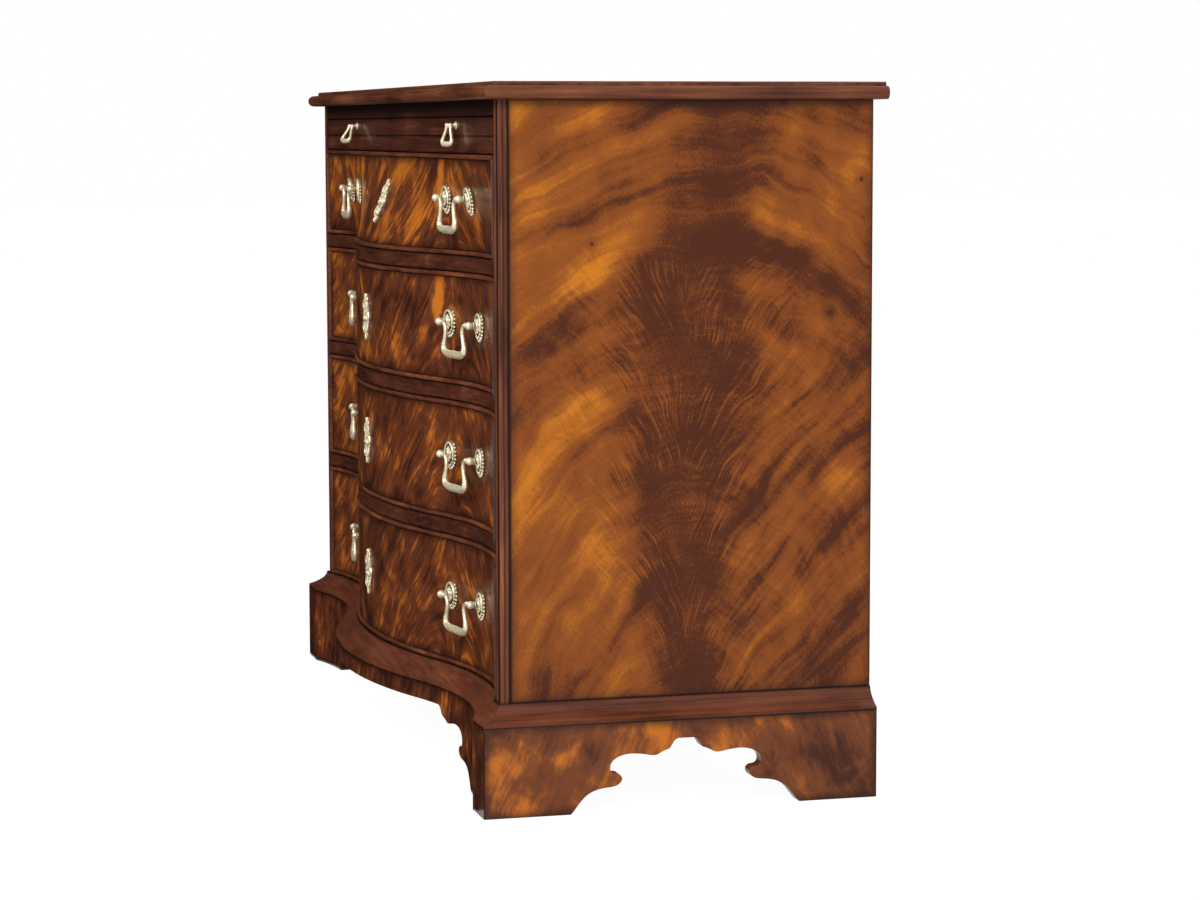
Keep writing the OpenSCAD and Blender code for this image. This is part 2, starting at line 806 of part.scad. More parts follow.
// Rod along the path, thick at its grip. It sets out towards lead, and a pin runs from pin_from
// to pin_to on each side.
module hoop(shape, half, drop, rod, grip, pin, pin_from, pin_to, lead = [-1, 0], per = 2, sides = 8) {
    path = hoop_path(shape, half, drop, per);
    last = len(path) - 1;
    skin([
        for (i = [0:last])
        let (
            d = i == 0 ? lead : i == last ? [lead[0], -lead[1]] : path[i + 1] - path[i - 1],
            n = [-d[1], d[0]] / norm(d),
            r = hoop_r(abs(2 * i / last - 1), rod, grip)
        )
        [
            for (j = [0:sides - 1])
            let (a = 360 * (j + 0.5) / sides)
            [path[i][0] + r * cos(a) * n[0], -r * sin(a), path[i][1] + r * cos(a) * n[1]]
        ]
    ]);
    both_sides()
    translate([pin_from, 0, 0])
    rotate([0, 90, 0])
    cylinder(r = pin, h = pin_to - pin_from, $fn = round_fn);
}

module slide_bail(x, lean) {
    color(metal)
    place()
    translate([x, frieze_in - pull_reach, pull_z])
    rotate([-lean, 0, pull_turn])
    hoop(ring_shape, pull_half, pull_drop, pull_rod_r, pull_grip_r, pull_pin_r,
        -1, ring_eye * pull_half, [0, -1]);
}

module slide_bail_right() {
    slide_bail(pull_right_x, pull_lean_right);
}

module slide_bail_left() {
    slide_bail(-pull_left_x, pull_lean_left);
}

// Drawer fronts

// Part of a drawer's front between its face moved back by near and its face moved back by far.
// Without far it goes right through to the inner face.
function far_y(n, x, z, far) = is_undef(far) ? inner_y(n, x, z) : face_y(n, x, z) + far;

module front_slab(n, half, zs, near, far) {
    xs = stations(half);
    top = len(zs) - 1;
    if (n == 1)
        skin([
            for (x = xs)
            concat(
                [for (z = zs) [x, far_y(n, x, z, far), z]],
                [for (i = [top:-1:0]) [x, face_y(n, x, zs[i]) + near, zs[i]]]
            )
        ]);
    else
        translate([0, 0, zs[0]])
        linear_extrude(zs[top] - zs[0])
        polygon(band(xs, [for (x = xs) front_y(x) + near], [for (x = xs) far_y(n, x, zs[0], far)]));
}

module drawer_front(n) {
    z0 = front_z(n);
    z1 = top_edge(n);
    low = z0 + cock_w;
    high = z1 - cock_w;
    rows = [for (i = [0:twist_rows]) low + (high - low) * i / twist_rows];
    color(flame)
    place()
    difference() {
        union() {
            front_slab(n, drawer_half - cock_w, rows, 0, cock_deep + 2);
            front_slab(n, drawer_half, concat([z0], rows, [z1]),
                cock_deep + (n == 1 ? twist_play - cock_seat : 0));
        }
        both_sides()
        at_handle(n)
        for (k = [-1, 1])
            translate([k * chord_half(n), 0, 0])
            rotate([-90, 0, 0]) {
                translate([0, 0, -10])
                cylinder(r = stem_r + stem_clear, h = front_t + 20, $fn = round_fn);
                translate([0, 0, front_t - nut_sink])
                cylinder(r = 2 * stem_r + 0.6, h = 10, $fn = round_fn);
            }
        at_lock(n)
        box(-lock_w / 2 - bolt_gap, lock_w / 2 + bolt_gap, -lock_t - bolt_gap, lock_t,
            -lock_h(n) - bolt_gap, lock_t);
        at_plate(n)
        translate([0, lock_t, 0])
        rotate([90, 0, 0])
        cylinder(r = key_r, h = 2 * lock_t, $fn = round_fn);
    }
}

// Section of the cock beading as [depth, width], with a round nose
cock_section = concat(
    [[cock_deep - cock_seat, 0], [cock_deep - cock_seat, cock_w - cock_seat]],
    [
        for (a = [90:-36:-90])
        [cock_w / 2 - cock_proud - cock_w / 2 * cos(a), (cock_w - cock_seat) / 2 * (1 + sin(a))]
    ]
);

module cock_strip(n, z0) {
    skin([
        for (x = stations(drawer_half))
        [for (p = cock_section) [x, face_y(n, x, z0 + p[1]) + p[0], z0 + p[1]]]
    ]);
}

// Ring of the upright beading at height z
function cock_ring(n, z) =
    [for (p = cock_section) let (x = drawer_half - p[1]) [x, face_y(n, x, z) + p[0], z]];

module drawer_beading(n) {
    z0 = front_z(n);
    z1 = top_edge(n);
    color(straight)
    place() {
        cock_strip(n, z0);
        cock_strip(n, z1 - cock_w + cock_seat);
        both_sides()
        skin([cock_ring(n, z0 + cock_w), cock_ring(n, z1 - cock_w)]);
    }
}

// Sides and back of a drawer
module drawer_box(n) {
    z0 = open_z[n] + run_gap;
    z1 = top_edge(n) - box_drop;
    color(secondary)
    place() {
        both_sides()
        box(drawer_half - box_t, drawer_half, landing_y, box_back, z0, z1);
        box(-drawer_half + box_t + joint_gap, drawer_half - box_t - joint_gap,
            box_back - box_t, box_back, z0 + bottom_lift + bottom_t, z1);
    }
}

module drawer_bottom(n) {
    xs = stations(drawer_half - box_t);
    z0 = open_z[n] + run_gap + bottom_lift;
    z1 = z0 + bottom_t;
    color(secondary)
    place()
    if (n == 1)
        skin([
            for (x = xs)
            [
                [x, inner_y(n, x, z0) + twist_play, z0], [x, box_back, z0],
                [x, box_back, z1], [x, inner_y(n, x, z1) + twist_play, z1]
            ]
        ]);
    else
        translate([0, 0, z0])
        linear_extrude(bottom_t)
        polygon(band(xs, [for (x = xs) inner_y(n, x, z0)], [for (x = xs) box_back]));
}

// Handles

// Puts its child at the right handle of drawer n, with X along the chord between the posts
module at_handle(n) {
    translate([handle_x, chord_mid(n), handle_z(n)])
    rotate([0, 0, chord_angle(n)])
    children();
}

// Puts its child flat on the drawer's face at x and z
module on_face(n, x, z) {
    translate([x, face_y(n, x, z), z])
    rotate([0, 0, atan(face_slope(n, x, z))])
    rotate([-face_tilt(n, x), 0, 0])
    children();
}

// Oval outline with a scalloped edge
function scallops(w, h, lobes, deep, step = 9) = [
    for (a = [0:step:360 - step])
    let (s = 1 + deep * cos(lobes * a))
    [w / 2 * s * cos(a), h / 2 * s * sin(a) - rosette_lower]
];

// Scalloped plate with a raised rim and a leafy boss round the post's neck
module rosette() {
    rotate([90, 0, 0])
    difference() {
        union() {
            linear_extrude(rosette_t)
            polygon(scallops(rosette_w, rosette_h, 20, 0.03));
            linear_extrude(rim_t)
            difference() {
                polygon(scallops(rosette_w * 0.88, rosette_h * 0.9, 1, 0, 18));
                polygon(scallops(rosette_w * 0.7, rosette_h * 0.76, 1, 0, 18));
            }
            linear_extrude(rosette_t + boss_t)
            polygon(scallops(rosette_w * 0.5, rosette_h * 0.46, 10, 0.04));
        }
        translate([0, 0, -1])
        cylinder(r = neck_r + rosette_clear, h = rosette_t + boss_t + 2, $fn = round_fn);
    }
}

// Posts with their nuts inside the drawer, and the rosettes round them
module drawer_handles(n) {
    nut_y = front_t - nut_sink + seat_gap + nut_t;
    color(metal)
    place()
    both_sides() {
        at_handle(n)
        for (k = [-1, 1])
            translate([k * chord_half(n), 0, 0]) {
                turned_post(stem_r, nut_y + 2, neck_r, 1, post_reach, knob_r, pin_r + pin_clear);
                translate([0, nut_y, 0])
                washer(2 * stem_r, stem_r + pin_clear, nut_t, 6);
            }
        for (k = [-1, 1])
            on_face(n, handle_x + k * handle_gap / 2, handle_z(n))
            translate([0, n == 1 ? -twist_gap : -seat_gap, 0])
            rosette();
    }
}

// Swan-neck bail that hangs from its pins in the posts' balls
module drawer_bail(n, side) {
    color(metal)
    place()
    mirror([side < 0 ? 1 : 0, 0, 0])
    at_handle(n)
    translate([0, -post_reach, 0])
    hoop(bail_shape, chord_half(n), bail_drop, bail_r, grip_r, pin_r,
        bail_shape[0][0] * chord_half(n) - 1, chord_half(n) + knob_r - 0.8);
}

// Escutcheons and locks

// Half width of the plate's leafy outline at share v of its height, from -0.5 to 0.5
function plate_x(v) =
    plate_w / 2 * (0.62 + 0.3 * cos(365 * v) + 0.08 * cos(1800 * v)) * sqrt(1 - pow(abs(2 * v), 5));
plate_side = [for (i = [1:23]) let (v = i / 24 - 0.5) [plate_x(v), v * plate_h]];

module at_plate(n) {
    on_face(n, 0, mid_z(n) - plate_lower)
    children();
}

module drawer_escutcheon(n) {
    color(metal)
    place()
    at_plate(n)
    translate([0, -seat_gap, 0])
    rotate([90, 0, 0])
    difference() {
        linear_extrude(plate_t)
        polygon(concat(
            [[0, -plate_h / 2]], plate_side, [[0, plate_h / 2]],
            [for (i = [22:-1:0]) [-plate_side[i][0], plate_side[i][1]]]
        ));
        translate([0, 0, -1])
        cylinder(r = key_r, h = plate_t + 2, $fn = round_fn);
        translate([-key_r * 0.45, -3.4 * key_r, -1])
        cube([key_r * 0.9, 3.4 * key_r, plate_t + 2]);
        for (k = [-1, 1], m = [-1, 1])
            translate([k * plate_w * 0.2, m * plate_h * 0.2, -1])
            cylinder(r = plate_w * 0.05, h = plate_t + 2, $fn = round_fn);
    }
}

// Lean of a drawer's front at the middle, seen from the side
function lean(n) = face_tilt(n, 0);
// Depth of a lock case's top below the drawer's top edge, and of its foot, along the front
function lock_drop(n) = lock_t * tan(lean(n)) + bolt_gap;
function lock_h(n) = (top_edge(n) - mid_z(n) + plate_lower) / cos(lean(n)) + lock_below;

// Puts its child at the top edge of the front's inner face, with Z up along the front
module at_lock(n) {
    translate([0, inner_y(n, 0, top_edge(n)), top_edge(n)])
    rotate([-lean(n), 0, 0])
    children();
}

bolt_y = -(lock_t + bolt_t) / 2;

module drawer_lock(n) {
    top = -lock_drop(n);
    key = lock_below - lock_h(n);
    color(metal)
    place()
    at_lock(n)
    difference() {
        box(-lock_w / 2, lock_w / 2, -lock_t, 0, -lock_h(n), top);
        box(-bolt_w / 2 - bolt_gap, bolt_w / 2 + bolt_gap, bolt_y - bolt_gap, bolt_y + bolt_t + bolt_gap,
            top - bolt_l - 2 * bolt_gap, top + 1);
        translate([0, -3, key])
        rotate([90, 0, 0])
        cylinder(r = key_r, h = lock_t, $fn = round_fn);
    }
}

module drawer_bolt(n) {
    top = -lock_drop(n) - bolt_gap;
    color(metal)
    place()
    at_lock(n)
    box(-bolt_w / 2, bolt_w / 2, bolt_y, bolt_y + bolt_t, top - bolt_l, top);
}

// Room for a bolt in the rail over drawer n
module mortise(n) {
    a = lean(n);
    y = inner_y(n, 0, top_edge(n));
    // Heights along the lock at which the bolt enters the rail, and of its raised top
    entry = (over_gap + bolt_y * sin(a)) / cos(a);
    tip = bolt_rise - lock_drop(n) - bolt_gap;
    box(-bolt_w / 2 - mortise_gap, bolt_w / 2 + mortise_gap,
        y + bolt_y * cos(a) + entry * sin(a) - mortise_gap,
        y + (bolt_y + bolt_t) * cos(a) + tip * sin(a) + mortise_gap,
        top_edge(n), top_edge(n) - bolt_y * sin(a) + tip * cos(a) + mortise_gap);
}

top_board();
side_right();
side_left();
back_boards();
carcase_bottom();
frieze_rails();
drawer_rails();
dust_boards();
runners();
corner_posts();
base_moulding_front();
base_moulding_returns();
front_apron();
side_aprons();
rear_feet();
glue_blocks();
slide_board();
slide_pulls();
slide_bail_right();
slide_bail_left();
drawer_front(1);  // drawer_1_front
drawer_beading(1);  // drawer_1_beading
drawer_box(1);  // drawer_1_box
drawer_bottom(1);  // drawer_1_bottom
drawer_escutcheon(1);  // drawer_1_escutcheon
drawer_lock(1);  // drawer_1_lock
drawer_bolt(1);  // drawer_1_bolt
drawer_handles(1);  // drawer_1_handles
drawer_bail(1, 1);  // drawer_1_bail_right
drawer_bail(1, -1);  // drawer_1_bail_left
drawer_front(2);  // drawer_2_front
drawer_beading(2);  // drawer_2_beading
drawer_box(2);  // drawer_2_box
drawer_bottom(2);  // drawer_2_bottom
drawer_escutcheon(2);  // drawer_2_escutcheon
drawer_lock(2);  // drawer_2_lock
drawer_bolt(2);  // drawer_2_bolt
drawer_handles(2);  // drawer_2_handles
drawer_bail(2, 1);  // drawer_2_bail_right
drawer_bail(2, -1);  // drawer_2_bail_left
drawer_front(3);  // drawer_3_front
drawer_beading(3);  // drawer_3_beading
drawer_box(3);  // drawer_3_box
drawer_bottom(3);  // drawer_3_bottom
drawer_escutcheon(3);  // drawer_3_escutcheon
drawer_lock(3);  // drawer_3_lock
drawer_bolt(3);  // drawer_3_bolt
drawer_handles(3);  // drawer_3_handles
drawer_bail(3, 1);  // drawer_3_bail_right
drawer_bail(3, -1);  // drawer_3_bail_left
drawer_front(4);  // drawer_4_front
drawer_beading(4);  // drawer_4_beading
drawer_box(4);  // drawer_4_box
drawer_bottom(4);  // drawer_4_bottom
drawer_escutcheon(4);  // drawer_4_escutcheon
drawer_lock(4);  // drawer_4_lock
drawer_bolt(4);  // drawer_4_bolt
drawer_handles(4);  // drawer_4_handles
drawer_bail(4, 1);  // drawer_4_bail_right
drawer_bail(4, -1);  // drawer_4_bail_left
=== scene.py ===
"""Looks of a serpentine mahogany chest of drawers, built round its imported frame.

Sizes are in millimetres in the plan that the frame's source uses: X = 0 is the middle of the
width, Y = 0 the front faces of the corner posts, Z = 0 the floor, and the front faces -Y.
"""

import logging
import math
from collections.abc import Callable, Sequence
from dataclasses import dataclass
from enum import Enum
from typing import TypeAlias

import bmesh
import bpy
from mathutils import Matrix, Vector

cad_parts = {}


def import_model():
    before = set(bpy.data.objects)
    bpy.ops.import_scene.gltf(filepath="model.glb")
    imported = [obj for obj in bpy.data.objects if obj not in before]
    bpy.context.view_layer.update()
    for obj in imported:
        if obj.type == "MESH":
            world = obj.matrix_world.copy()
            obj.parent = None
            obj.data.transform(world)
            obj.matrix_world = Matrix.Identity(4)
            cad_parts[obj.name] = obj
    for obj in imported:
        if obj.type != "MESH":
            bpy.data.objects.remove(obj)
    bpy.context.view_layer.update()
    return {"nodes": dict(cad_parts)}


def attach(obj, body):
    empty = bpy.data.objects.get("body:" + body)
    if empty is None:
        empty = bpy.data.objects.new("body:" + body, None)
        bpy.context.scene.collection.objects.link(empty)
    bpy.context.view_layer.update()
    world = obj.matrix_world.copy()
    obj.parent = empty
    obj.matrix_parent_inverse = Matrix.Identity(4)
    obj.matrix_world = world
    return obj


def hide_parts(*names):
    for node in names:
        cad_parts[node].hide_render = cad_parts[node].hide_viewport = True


log = logging.getLogger("chest")

Point2: TypeAlias = tuple[float, float]
Point3: TypeAlias = tuple[float, float, float]
Colour: TypeAlias = tuple[float, float, float]
Value: TypeAlias = "Field | float"
Input: TypeAlias = "Field | float | Sequence[float]"
Verts: TypeAlias = list[bmesh.types.BMVert]

MM = 0.001
DRAWERS = (1, 2, 3, 4)
# painted shade: the near-black of gaps, grooves and joints between parts
PAINTED_SHADE: Colour = (0.010, 0.0040, 0.0028)


@dataclass(frozen=True)
class Chest:
    """Sizes of the whole chest, in millimetres; a list of heights starts with drawer 1, the top one."""

    carcase_w: float = 1144.0
    carcase_d: float = 454.0
    post_w: float = 23.0
    post_d: float = 12.5
    bow_proud: float = 46.1
    hollow_deep: float = 20.8
    hollow_in: float = 151.4
    hollow_r: float = 524.0
    foot_h: float = 106.0
    moulding_h: float = 24.3
    open_heights: tuple[float, ...] = (125.0, 140.0, 149.0, 163.0)
    rail_t: float = 19.7
    slide_rail_t: float = 20.8
    slide_open_h: float = 23.3
    top_rail_t: float = 18.9
    top_t: float = 20.6
    top_front_over: float = 20.6
    top_side_over: float = 21.6
    top_back_over: float = 13.0
    base_side_over: float = 27.0
    base_front_over: float = 27.0
    base_serp_over: float = 30.0
    base_swell: float = 0.1
    pad_extra: float = 6.0
    apron_t: float = 20.0
    drawer_gap: float = 1.0
    under_gap: float = 0.8
    over_gap: float = 1.2
    cock_w: float = 5.5
    cock_proud: float = 2.9
    cock_deep: float = 6.0
    front_t: float = 24.0

    @property
    def half_w(self) -> float:
        """Half the width over the side panels."""
        return self.carcase_w / 2

    @property
    def open_half(self) -> float:
        """Half the width between the corner posts."""
        return self.half_w - self.post_w

    @property
    def drawer_half(self) -> float:
        """Half the width of a drawer."""
        return self.open_half - self.drawer_gap

    @property
    def pad_x(self) -> float:
        """Inner edge of the flat pads at the base's corners."""
        return self.open_half - self.pad_extra

    @property
    def base_half(self) -> float:
        """Half the width over the base."""
        return self.half_w + self.base_side_over

    @property
    def shift_y(self) -> float:
        """Move along Y that puts the middle of the whole depth on Y = 0."""
        return (self.bow_proud + self.base_over(0.0) - self.carcase_d - self.top_back_over) / 2

    @property
    def slide_z(self) -> float:
        """Bottom of the brushing slide's opening, on the rail over the top drawer."""
        return self.open_z(1) + self.open_h(1) + self.slide_rail_t

    @property
    def top_rail_z(self) -> float:
        """Underside of the rail below the top."""
        return self.slide_z + self.slide_open_h

    @property
    def top_z(self) -> float:
        """Underside of the top."""
        return self.top_rail_z + self.top_rail_t

    def open_h(self, n: int) -> float:
        """Height of drawer n's opening."""
        return self.open_heights[n - 1]

    def open_z(self, n: int) -> float:
        """Bottom of drawer n's opening."""
        return self.foot_h + self.moulding_h + sum(h + self.rail_t for h in self.open_heights[n:])

    def front_y(self, x: float) -> float:
        """Line of the serpentine front: a bow that runs into a hollow at each end.

        Args:
            x: Distance from the middle of the width.

        Returns:
            Y of the line at x.
        """
        t = abs(x)
        hollow_x = self.half_w - self.hollow_in
        wave = self.hollow_deep + self.bow_proud
        reach = (hollow_x ** 2 + wave ** 2) / (2 * wave)
        if t >= self.open_half:
            return 0.0
        if t > hollow_x:
            run = self.open_half - hollow_x
            end_r = (run ** 2 + self.hollow_deep ** 2) / (2 * self.hollow_deep)
            return self.hollow_deep - self.sag(end_r, t - hollow_x)
        if t > hollow_x * (1 - self.hollow_r / reach):
            return self.hollow_deep - self.sag(self.hollow_r, hollow_x - t)
        return -self.bow_proud + self.sag(reach - self.hollow_r, t)

    @staticmethod
    def sag(radius: float, run: float) -> float:
        """Drop of a circle at a distance run from its highest point."""
        return radius - math.sqrt(radius ** 2 - run ** 2)

    def base_over(self, x: float) -> float:
        """How far the base's serpentine stands out beyond the front's at x."""
        return self.base_serp_over - self.base_swell * self.front_y(x)

    def front_z(self, n: int) -> float:
        """Lower edge of drawer n's front."""
        return self.open_z(n) + self.under_gap

    def front_h(self, n: int) -> float:
        """Height of drawer n's front."""
        return self.open_h(n) - self.under_gap - self.over_gap

    def front_top(self, n: int) -> float:
        """Upper edge of drawer n's front."""
        return self.front_z(n) + self.front_h(n)

    def mid_z(self, n: int) -> float:
        """Middle height of drawer n's front."""
        return self.front_z(n) + self.front_h(n) / 2

    def face_y(self, n: int, x: float, z: float) -> float:
        """Y of drawer n's face; the top drawer is straight along its upper edge."""
        share = 1 - (z - self.front_z(n)) / self.front_h(n) if n == 1 else 1.0
        return self.front_y(x) * share


CHEST = Chest()


class Slot(Enum):
    """Material slots of the record."""

    FLAME = "flame"
    STRAIGHT = "straight"
    BRASS = "brass"
    IRON = "iron"


class Axis(Enum):
    """Direction in which a board's grain runs."""

    X = 0
    Y = 1
    Z = 2

    def first(self, place: Sequence["Field"]) -> list["Field"]:
        """Coordinate along this axis, then the other two."""
        return [place[self.value]] + [coord for axis, coord in zip(Axis, place) if axis is not self]


# Shader maths

class Field:
    """A value that varies over a surface; arithmetic on it adds Math nodes."""

    def __init__(self, tree: "Tree", socket: bpy.types.NodeSocket) -> None:
        """Wraps one output socket of a node tree."""
        self.tree = tree
        self.socket = socket

    def other(self, name: str) -> "Field":
        """Another output of the same node."""
        return Field(self.tree, self.socket.node.outputs[name])

    def __add__(self, other: Value) -> "Field":
        """Sum."""
        return self.tree.math("ADD", self, other)

    def __sub__(self, other: Value) -> "Field":
        """Difference."""
        return self.tree.math("SUBTRACT", self, other)

    def __mul__(self, other: Value) -> "Field":
        """Product."""
        return self.tree.math("MULTIPLY", self, other)

    def __truediv__(self, other: Value) -> "Field":
        """Quotient."""
        return self.tree.math("DIVIDE", self, other)

    def __rsub__(self, other: float) -> "Field":
        """Difference from a number."""
        return self.tree.math("SUBTRACT", other, self)

    def __rtruediv__(self, other: float) -> "Field":
        """Quotient of a number."""
        return self.tree.math("DIVIDE", other, self)

    def __abs__(self) -> "Field":
        """Absolute value."""
        return self.tree.math("ABSOLUTE", self)

    __radd__ = __add__
    __rmul__ = __mul__

    def root(self) -> "Field":
        """Square root."""
        return self.tree.math("SQRT", self)

    def hypot(self, other: "Field") -> "Field":
        """Length of the slope over two legs that are square to each other."""
        return (self * self + other * other).root()

    def least(self, other: Value) -> "Field":
        """Smaller of two values."""
        return self.tree.math("MINIMUM", self, other)

    def most(self, other: Value) -> "Field":
        """Larger of two values."""
        return self.tree.math("MAXIMUM", self, other)

    def step(self, start: float, end: float) -> "Field":
        """Smooth step between two values.

        Args:
            start: Where the step is 0.
            end: Where it is 1, above or below the start.

        Returns:
            The step.
        """
        ends = (start, end, 0.0, 1.0) if start < end else (end, start, 1.0, 0.0)
        sockets = dict(zip(("From Min", "From Max", "To Min", "To Max"), ends), Value=self)
        return self.tree.node("MapRange", {"interpolation_type": "SMOOTHSTEP"}, sockets, "Result")


class Tree:
    """A node tree with one way to add nodes."""

    def __init__(self, tree: bpy.types.NodeTree) -> None:
        """Keeps the tree's nodes and links."""
        self.nodes = tree.nodes
        self.links = tree.links

    def feed(self, socket: bpy.types.NodeSocket, value: Input) -> None:
        """Links a field to a socket, or sets the socket.

        Args:
            socket: An input of a node.
            value: A field, a number or a colour.
        """
        if isinstance(value, Field):
            self.links.new(value.socket, socket)
        elif isinstance(value, (int, float)):
            socket.default_value = value
        else:
            socket.default_value = (*value, 1.0)[: len(socket.default_value)]

    def node(self, kind: str, settings: dict | None = None, sockets: dict | None = None,
             out: str | int = 0) -> Field:
        """Adds a node of any type.

        Args:
            kind: Its type, without the word ShaderNode before it.
            settings: Its own settings, which are set first.
            sockets: Values or links of its inputs, by name or number.
            out: The output that is asked for.

        Returns:
            The output as a field.
        """
        node = self.nodes.new(f"ShaderNode{kind}")
        for name, value in (settings or {}).items():
            setattr(node, name, value)
        for key, value in (sockets or {}).items():
            self.feed(node.inputs[key], value)
        return Field(self, node.outputs[out])

    def math(self, operation: str, *values: Value) -> Field:
        """Adds a Math node."""
        return self.node("Math", {"operation": operation}, dict(enumerate(values)))

    def seen(self) -> Field:
        """1 for rays from the camera, off a gloss or through glass, and 0 for all others."""
        ray = self.node("LightPath", out="Is Camera Ray")
        return ray.most(ray.other("Is Glossy Ray")).most(ray.other("Is Transmission Ray"))


class Shade(Tree):
    """A material with a Principled shader."""

    def __init__(self, name: str) -> None:
        """Starts the material.

        Args:
            name: Its name.
        """
        self.material = bpy.data.materials.new(name)
        self.material.use_nodes = True
        super().__init__(self.material.node_tree)
        self.shader = self.nodes["Principled BSDF"]

    def place(self) -> tuple[Field, Field, Field]:
        """Object coordinates in the chest's plan.

        Returns:
            X, Y and Z in millimetres.
        """
        apart = self.node("SeparateXYZ", {}, {0: self.node("TexCoord", out="Object")})
        x, y, z = (apart.other(axis.name) * (1 / MM) for axis in Axis)
        return x, y - CHEST.shift_y, z

    def noise(self, point: Sequence[Value], detail: float = 3.0, rough: float = 0.55,
              twist: float = 0.0) -> Field:
        """Noise about 0, mostly between -0.5 and 0.5.

        Args:
            point: Two or three coordinates, each over the size that its features have.
            detail: Number of finer layers.
            rough: Share of each finer layer.
            twist: How far the noise is twisted.

        Returns:
            The noise.
        """
        vector = self.node("CombineXYZ", {}, dict(enumerate(point)))
        sockets = {"Vector": vector, "Scale": 1.0, "Detail": detail, "Roughness": rough}
        return self.node("TexNoise", {}, {**sockets, "Distortion": twist}, "Fac") - 0.5

    def blend(self, share: Value, first: Input, second: Input) -> Field:
        """Mixes two colours."""
        return self.node("Mix", {"data_type": "RGBA"}, {"Factor": share, 6: first, 7: second}, 2)

    def near(self, coord: Field, places: Sequence[float], reach: float) -> Field:
        """Share of nearness to any of some places along a coordinate.

        Args:
            coord: The coordinate.
            places: Where the share is 1.
            reach: Distance at which it has fallen to 0.

        Returns:
            The share.
        """
        gap = abs(coord - places[0])
        for place in places[1:]:
            gap = gap.least(abs(coord - place))
        return gap.step(reach, 0.0)

    def trait(self, name: str) -> Field:
        """Number stored on a piece's vertices."""
        return self.node("Attribute", {"attribute_name": name}, out="Fac")

    def set(self, **values: Input) -> None:
        """Sets the shader's sockets by their names, with underscores for spaces."""
        for name, value in values.items():
            self.feed(self.shader.inputs[name.replace("_", " ")], value)

    def relief(self, height: Field, depth: float, strength: float) -> bpy.types.Material:
        """Gives the shader a bump.

        Args:
            height: Height as a field.
            depth: What a whole step of it stands for, in millimetres.
            strength: Share of the bump that shows.

        Returns:
            The finished material.
        """
        sockets = {"Distance": depth * MM, "Strength": strength, "Height": height}
        self.set(Normal=self.node("Bump", {}, sockets, "Normal"))
        return self.material


@dataclass(frozen=True)
class ShadeLine:
    """Painted shade: a dark line at some places along an axis, where a gap, groove or joint lies in shade."""

    axis: Axis
    places: tuple[float, ...]
    reach: float
    colour: Colour = PAINTED_SHADE


@dataclass(frozen=True)
class Edges:
    """Edges of a veneered face: darker in an uneven band along them, with a black line of painted shade right
    at the edge, where the face meets the next part.

    A face_x says where the face lies across the chest, if the piece has other faces to keep clean.
    """

    ends: Point2
    heights: Point2
    face_x: float | None = None
    off_face: float = 40.0
    dark_band_w: float = 13.0
    dark_band_past: float = -3.0
    dark_band_wobble: float = 4.0
    dark_band_share: float = 0.82
    dark_band: Colour = (0.020, 0.0065, 0.0045)
    line_w: float = 2.2
    line_share: float = 0.85

    def darken(self, s: Shade, colour: Field, point: Sequence[Field], jitter: Field) -> Field:
        """Darkens a colour in an uneven band along the edges, and paints a line of shade at the edges
        themselves.

        Args:
            s: The material.
            colour: Colour of the veneer.
            point: Coordinate across the chest, along the face, and height.
            jitter: Noise that makes the stain uneven.

        Returns:
            The darkened colour.
        """
        x, u, z = point
        gap = (u - self.ends[0]).least(self.ends[1] - u)
        gap = gap.least(z - self.heights[0]).least(self.heights[1] - z)
        if self.face_x:
            gap = gap + abs(x).step(self.face_x - 0.3, self.face_x - 1.5) * self.off_face
        # a darker, uneven band along the edges
        dark_band = (gap + jitter * self.dark_band_wobble).step(self.dark_band_w, self.dark_band_past)
        colour = s.blend(dark_band * self.dark_band_share, colour, self.dark_band)
        # painted shade: a black line where the face meets the next part
        return s.blend(gap.step(self.line_w, 0.0) * self.line_share, colour, PAINTED_SHADE)


@dataclass(frozen=True, kw_only=True)
class Mahogany:
    """French-polished wood in a dark, a middle and a light tone."""

    name: str
    tones: tuple[Colour, Colour, Colour]
    seed: float = 0.0
    coat: float = 0.2
    coat_roughness: float = 0.10
    coat_ior: float = 1.4
    specular: float = 0.08

    def stained(self, s: Shade, tone: Field, middle: Point2, light: Point2) -> Field:
        """Colours the wood.

        Args:
            s: The material.
            tone: Lightness as a field.
            middle: Tones between which dark turns to middle.
            light: Tones between which middle turns to light.

        Returns:
            The colour.
        """
        colour = s.blend(tone.step(*middle), *self.tones[:2])
        return s.blend(tone.step(*light), colour, self.tones[2])

    def polished(self, s: Shade, colour: Field, roughness: Field) -> None:
        """Puts the colour and roughness of the wood under the polish."""
        s.set(Base_Color=colour, Roughness=roughness, Specular_IOR_Level=self.specular)
        s.set(Coat_Weight=self.coat, Coat_Roughness=self.coat_roughness, Coat_IOR=self.coat_ior)


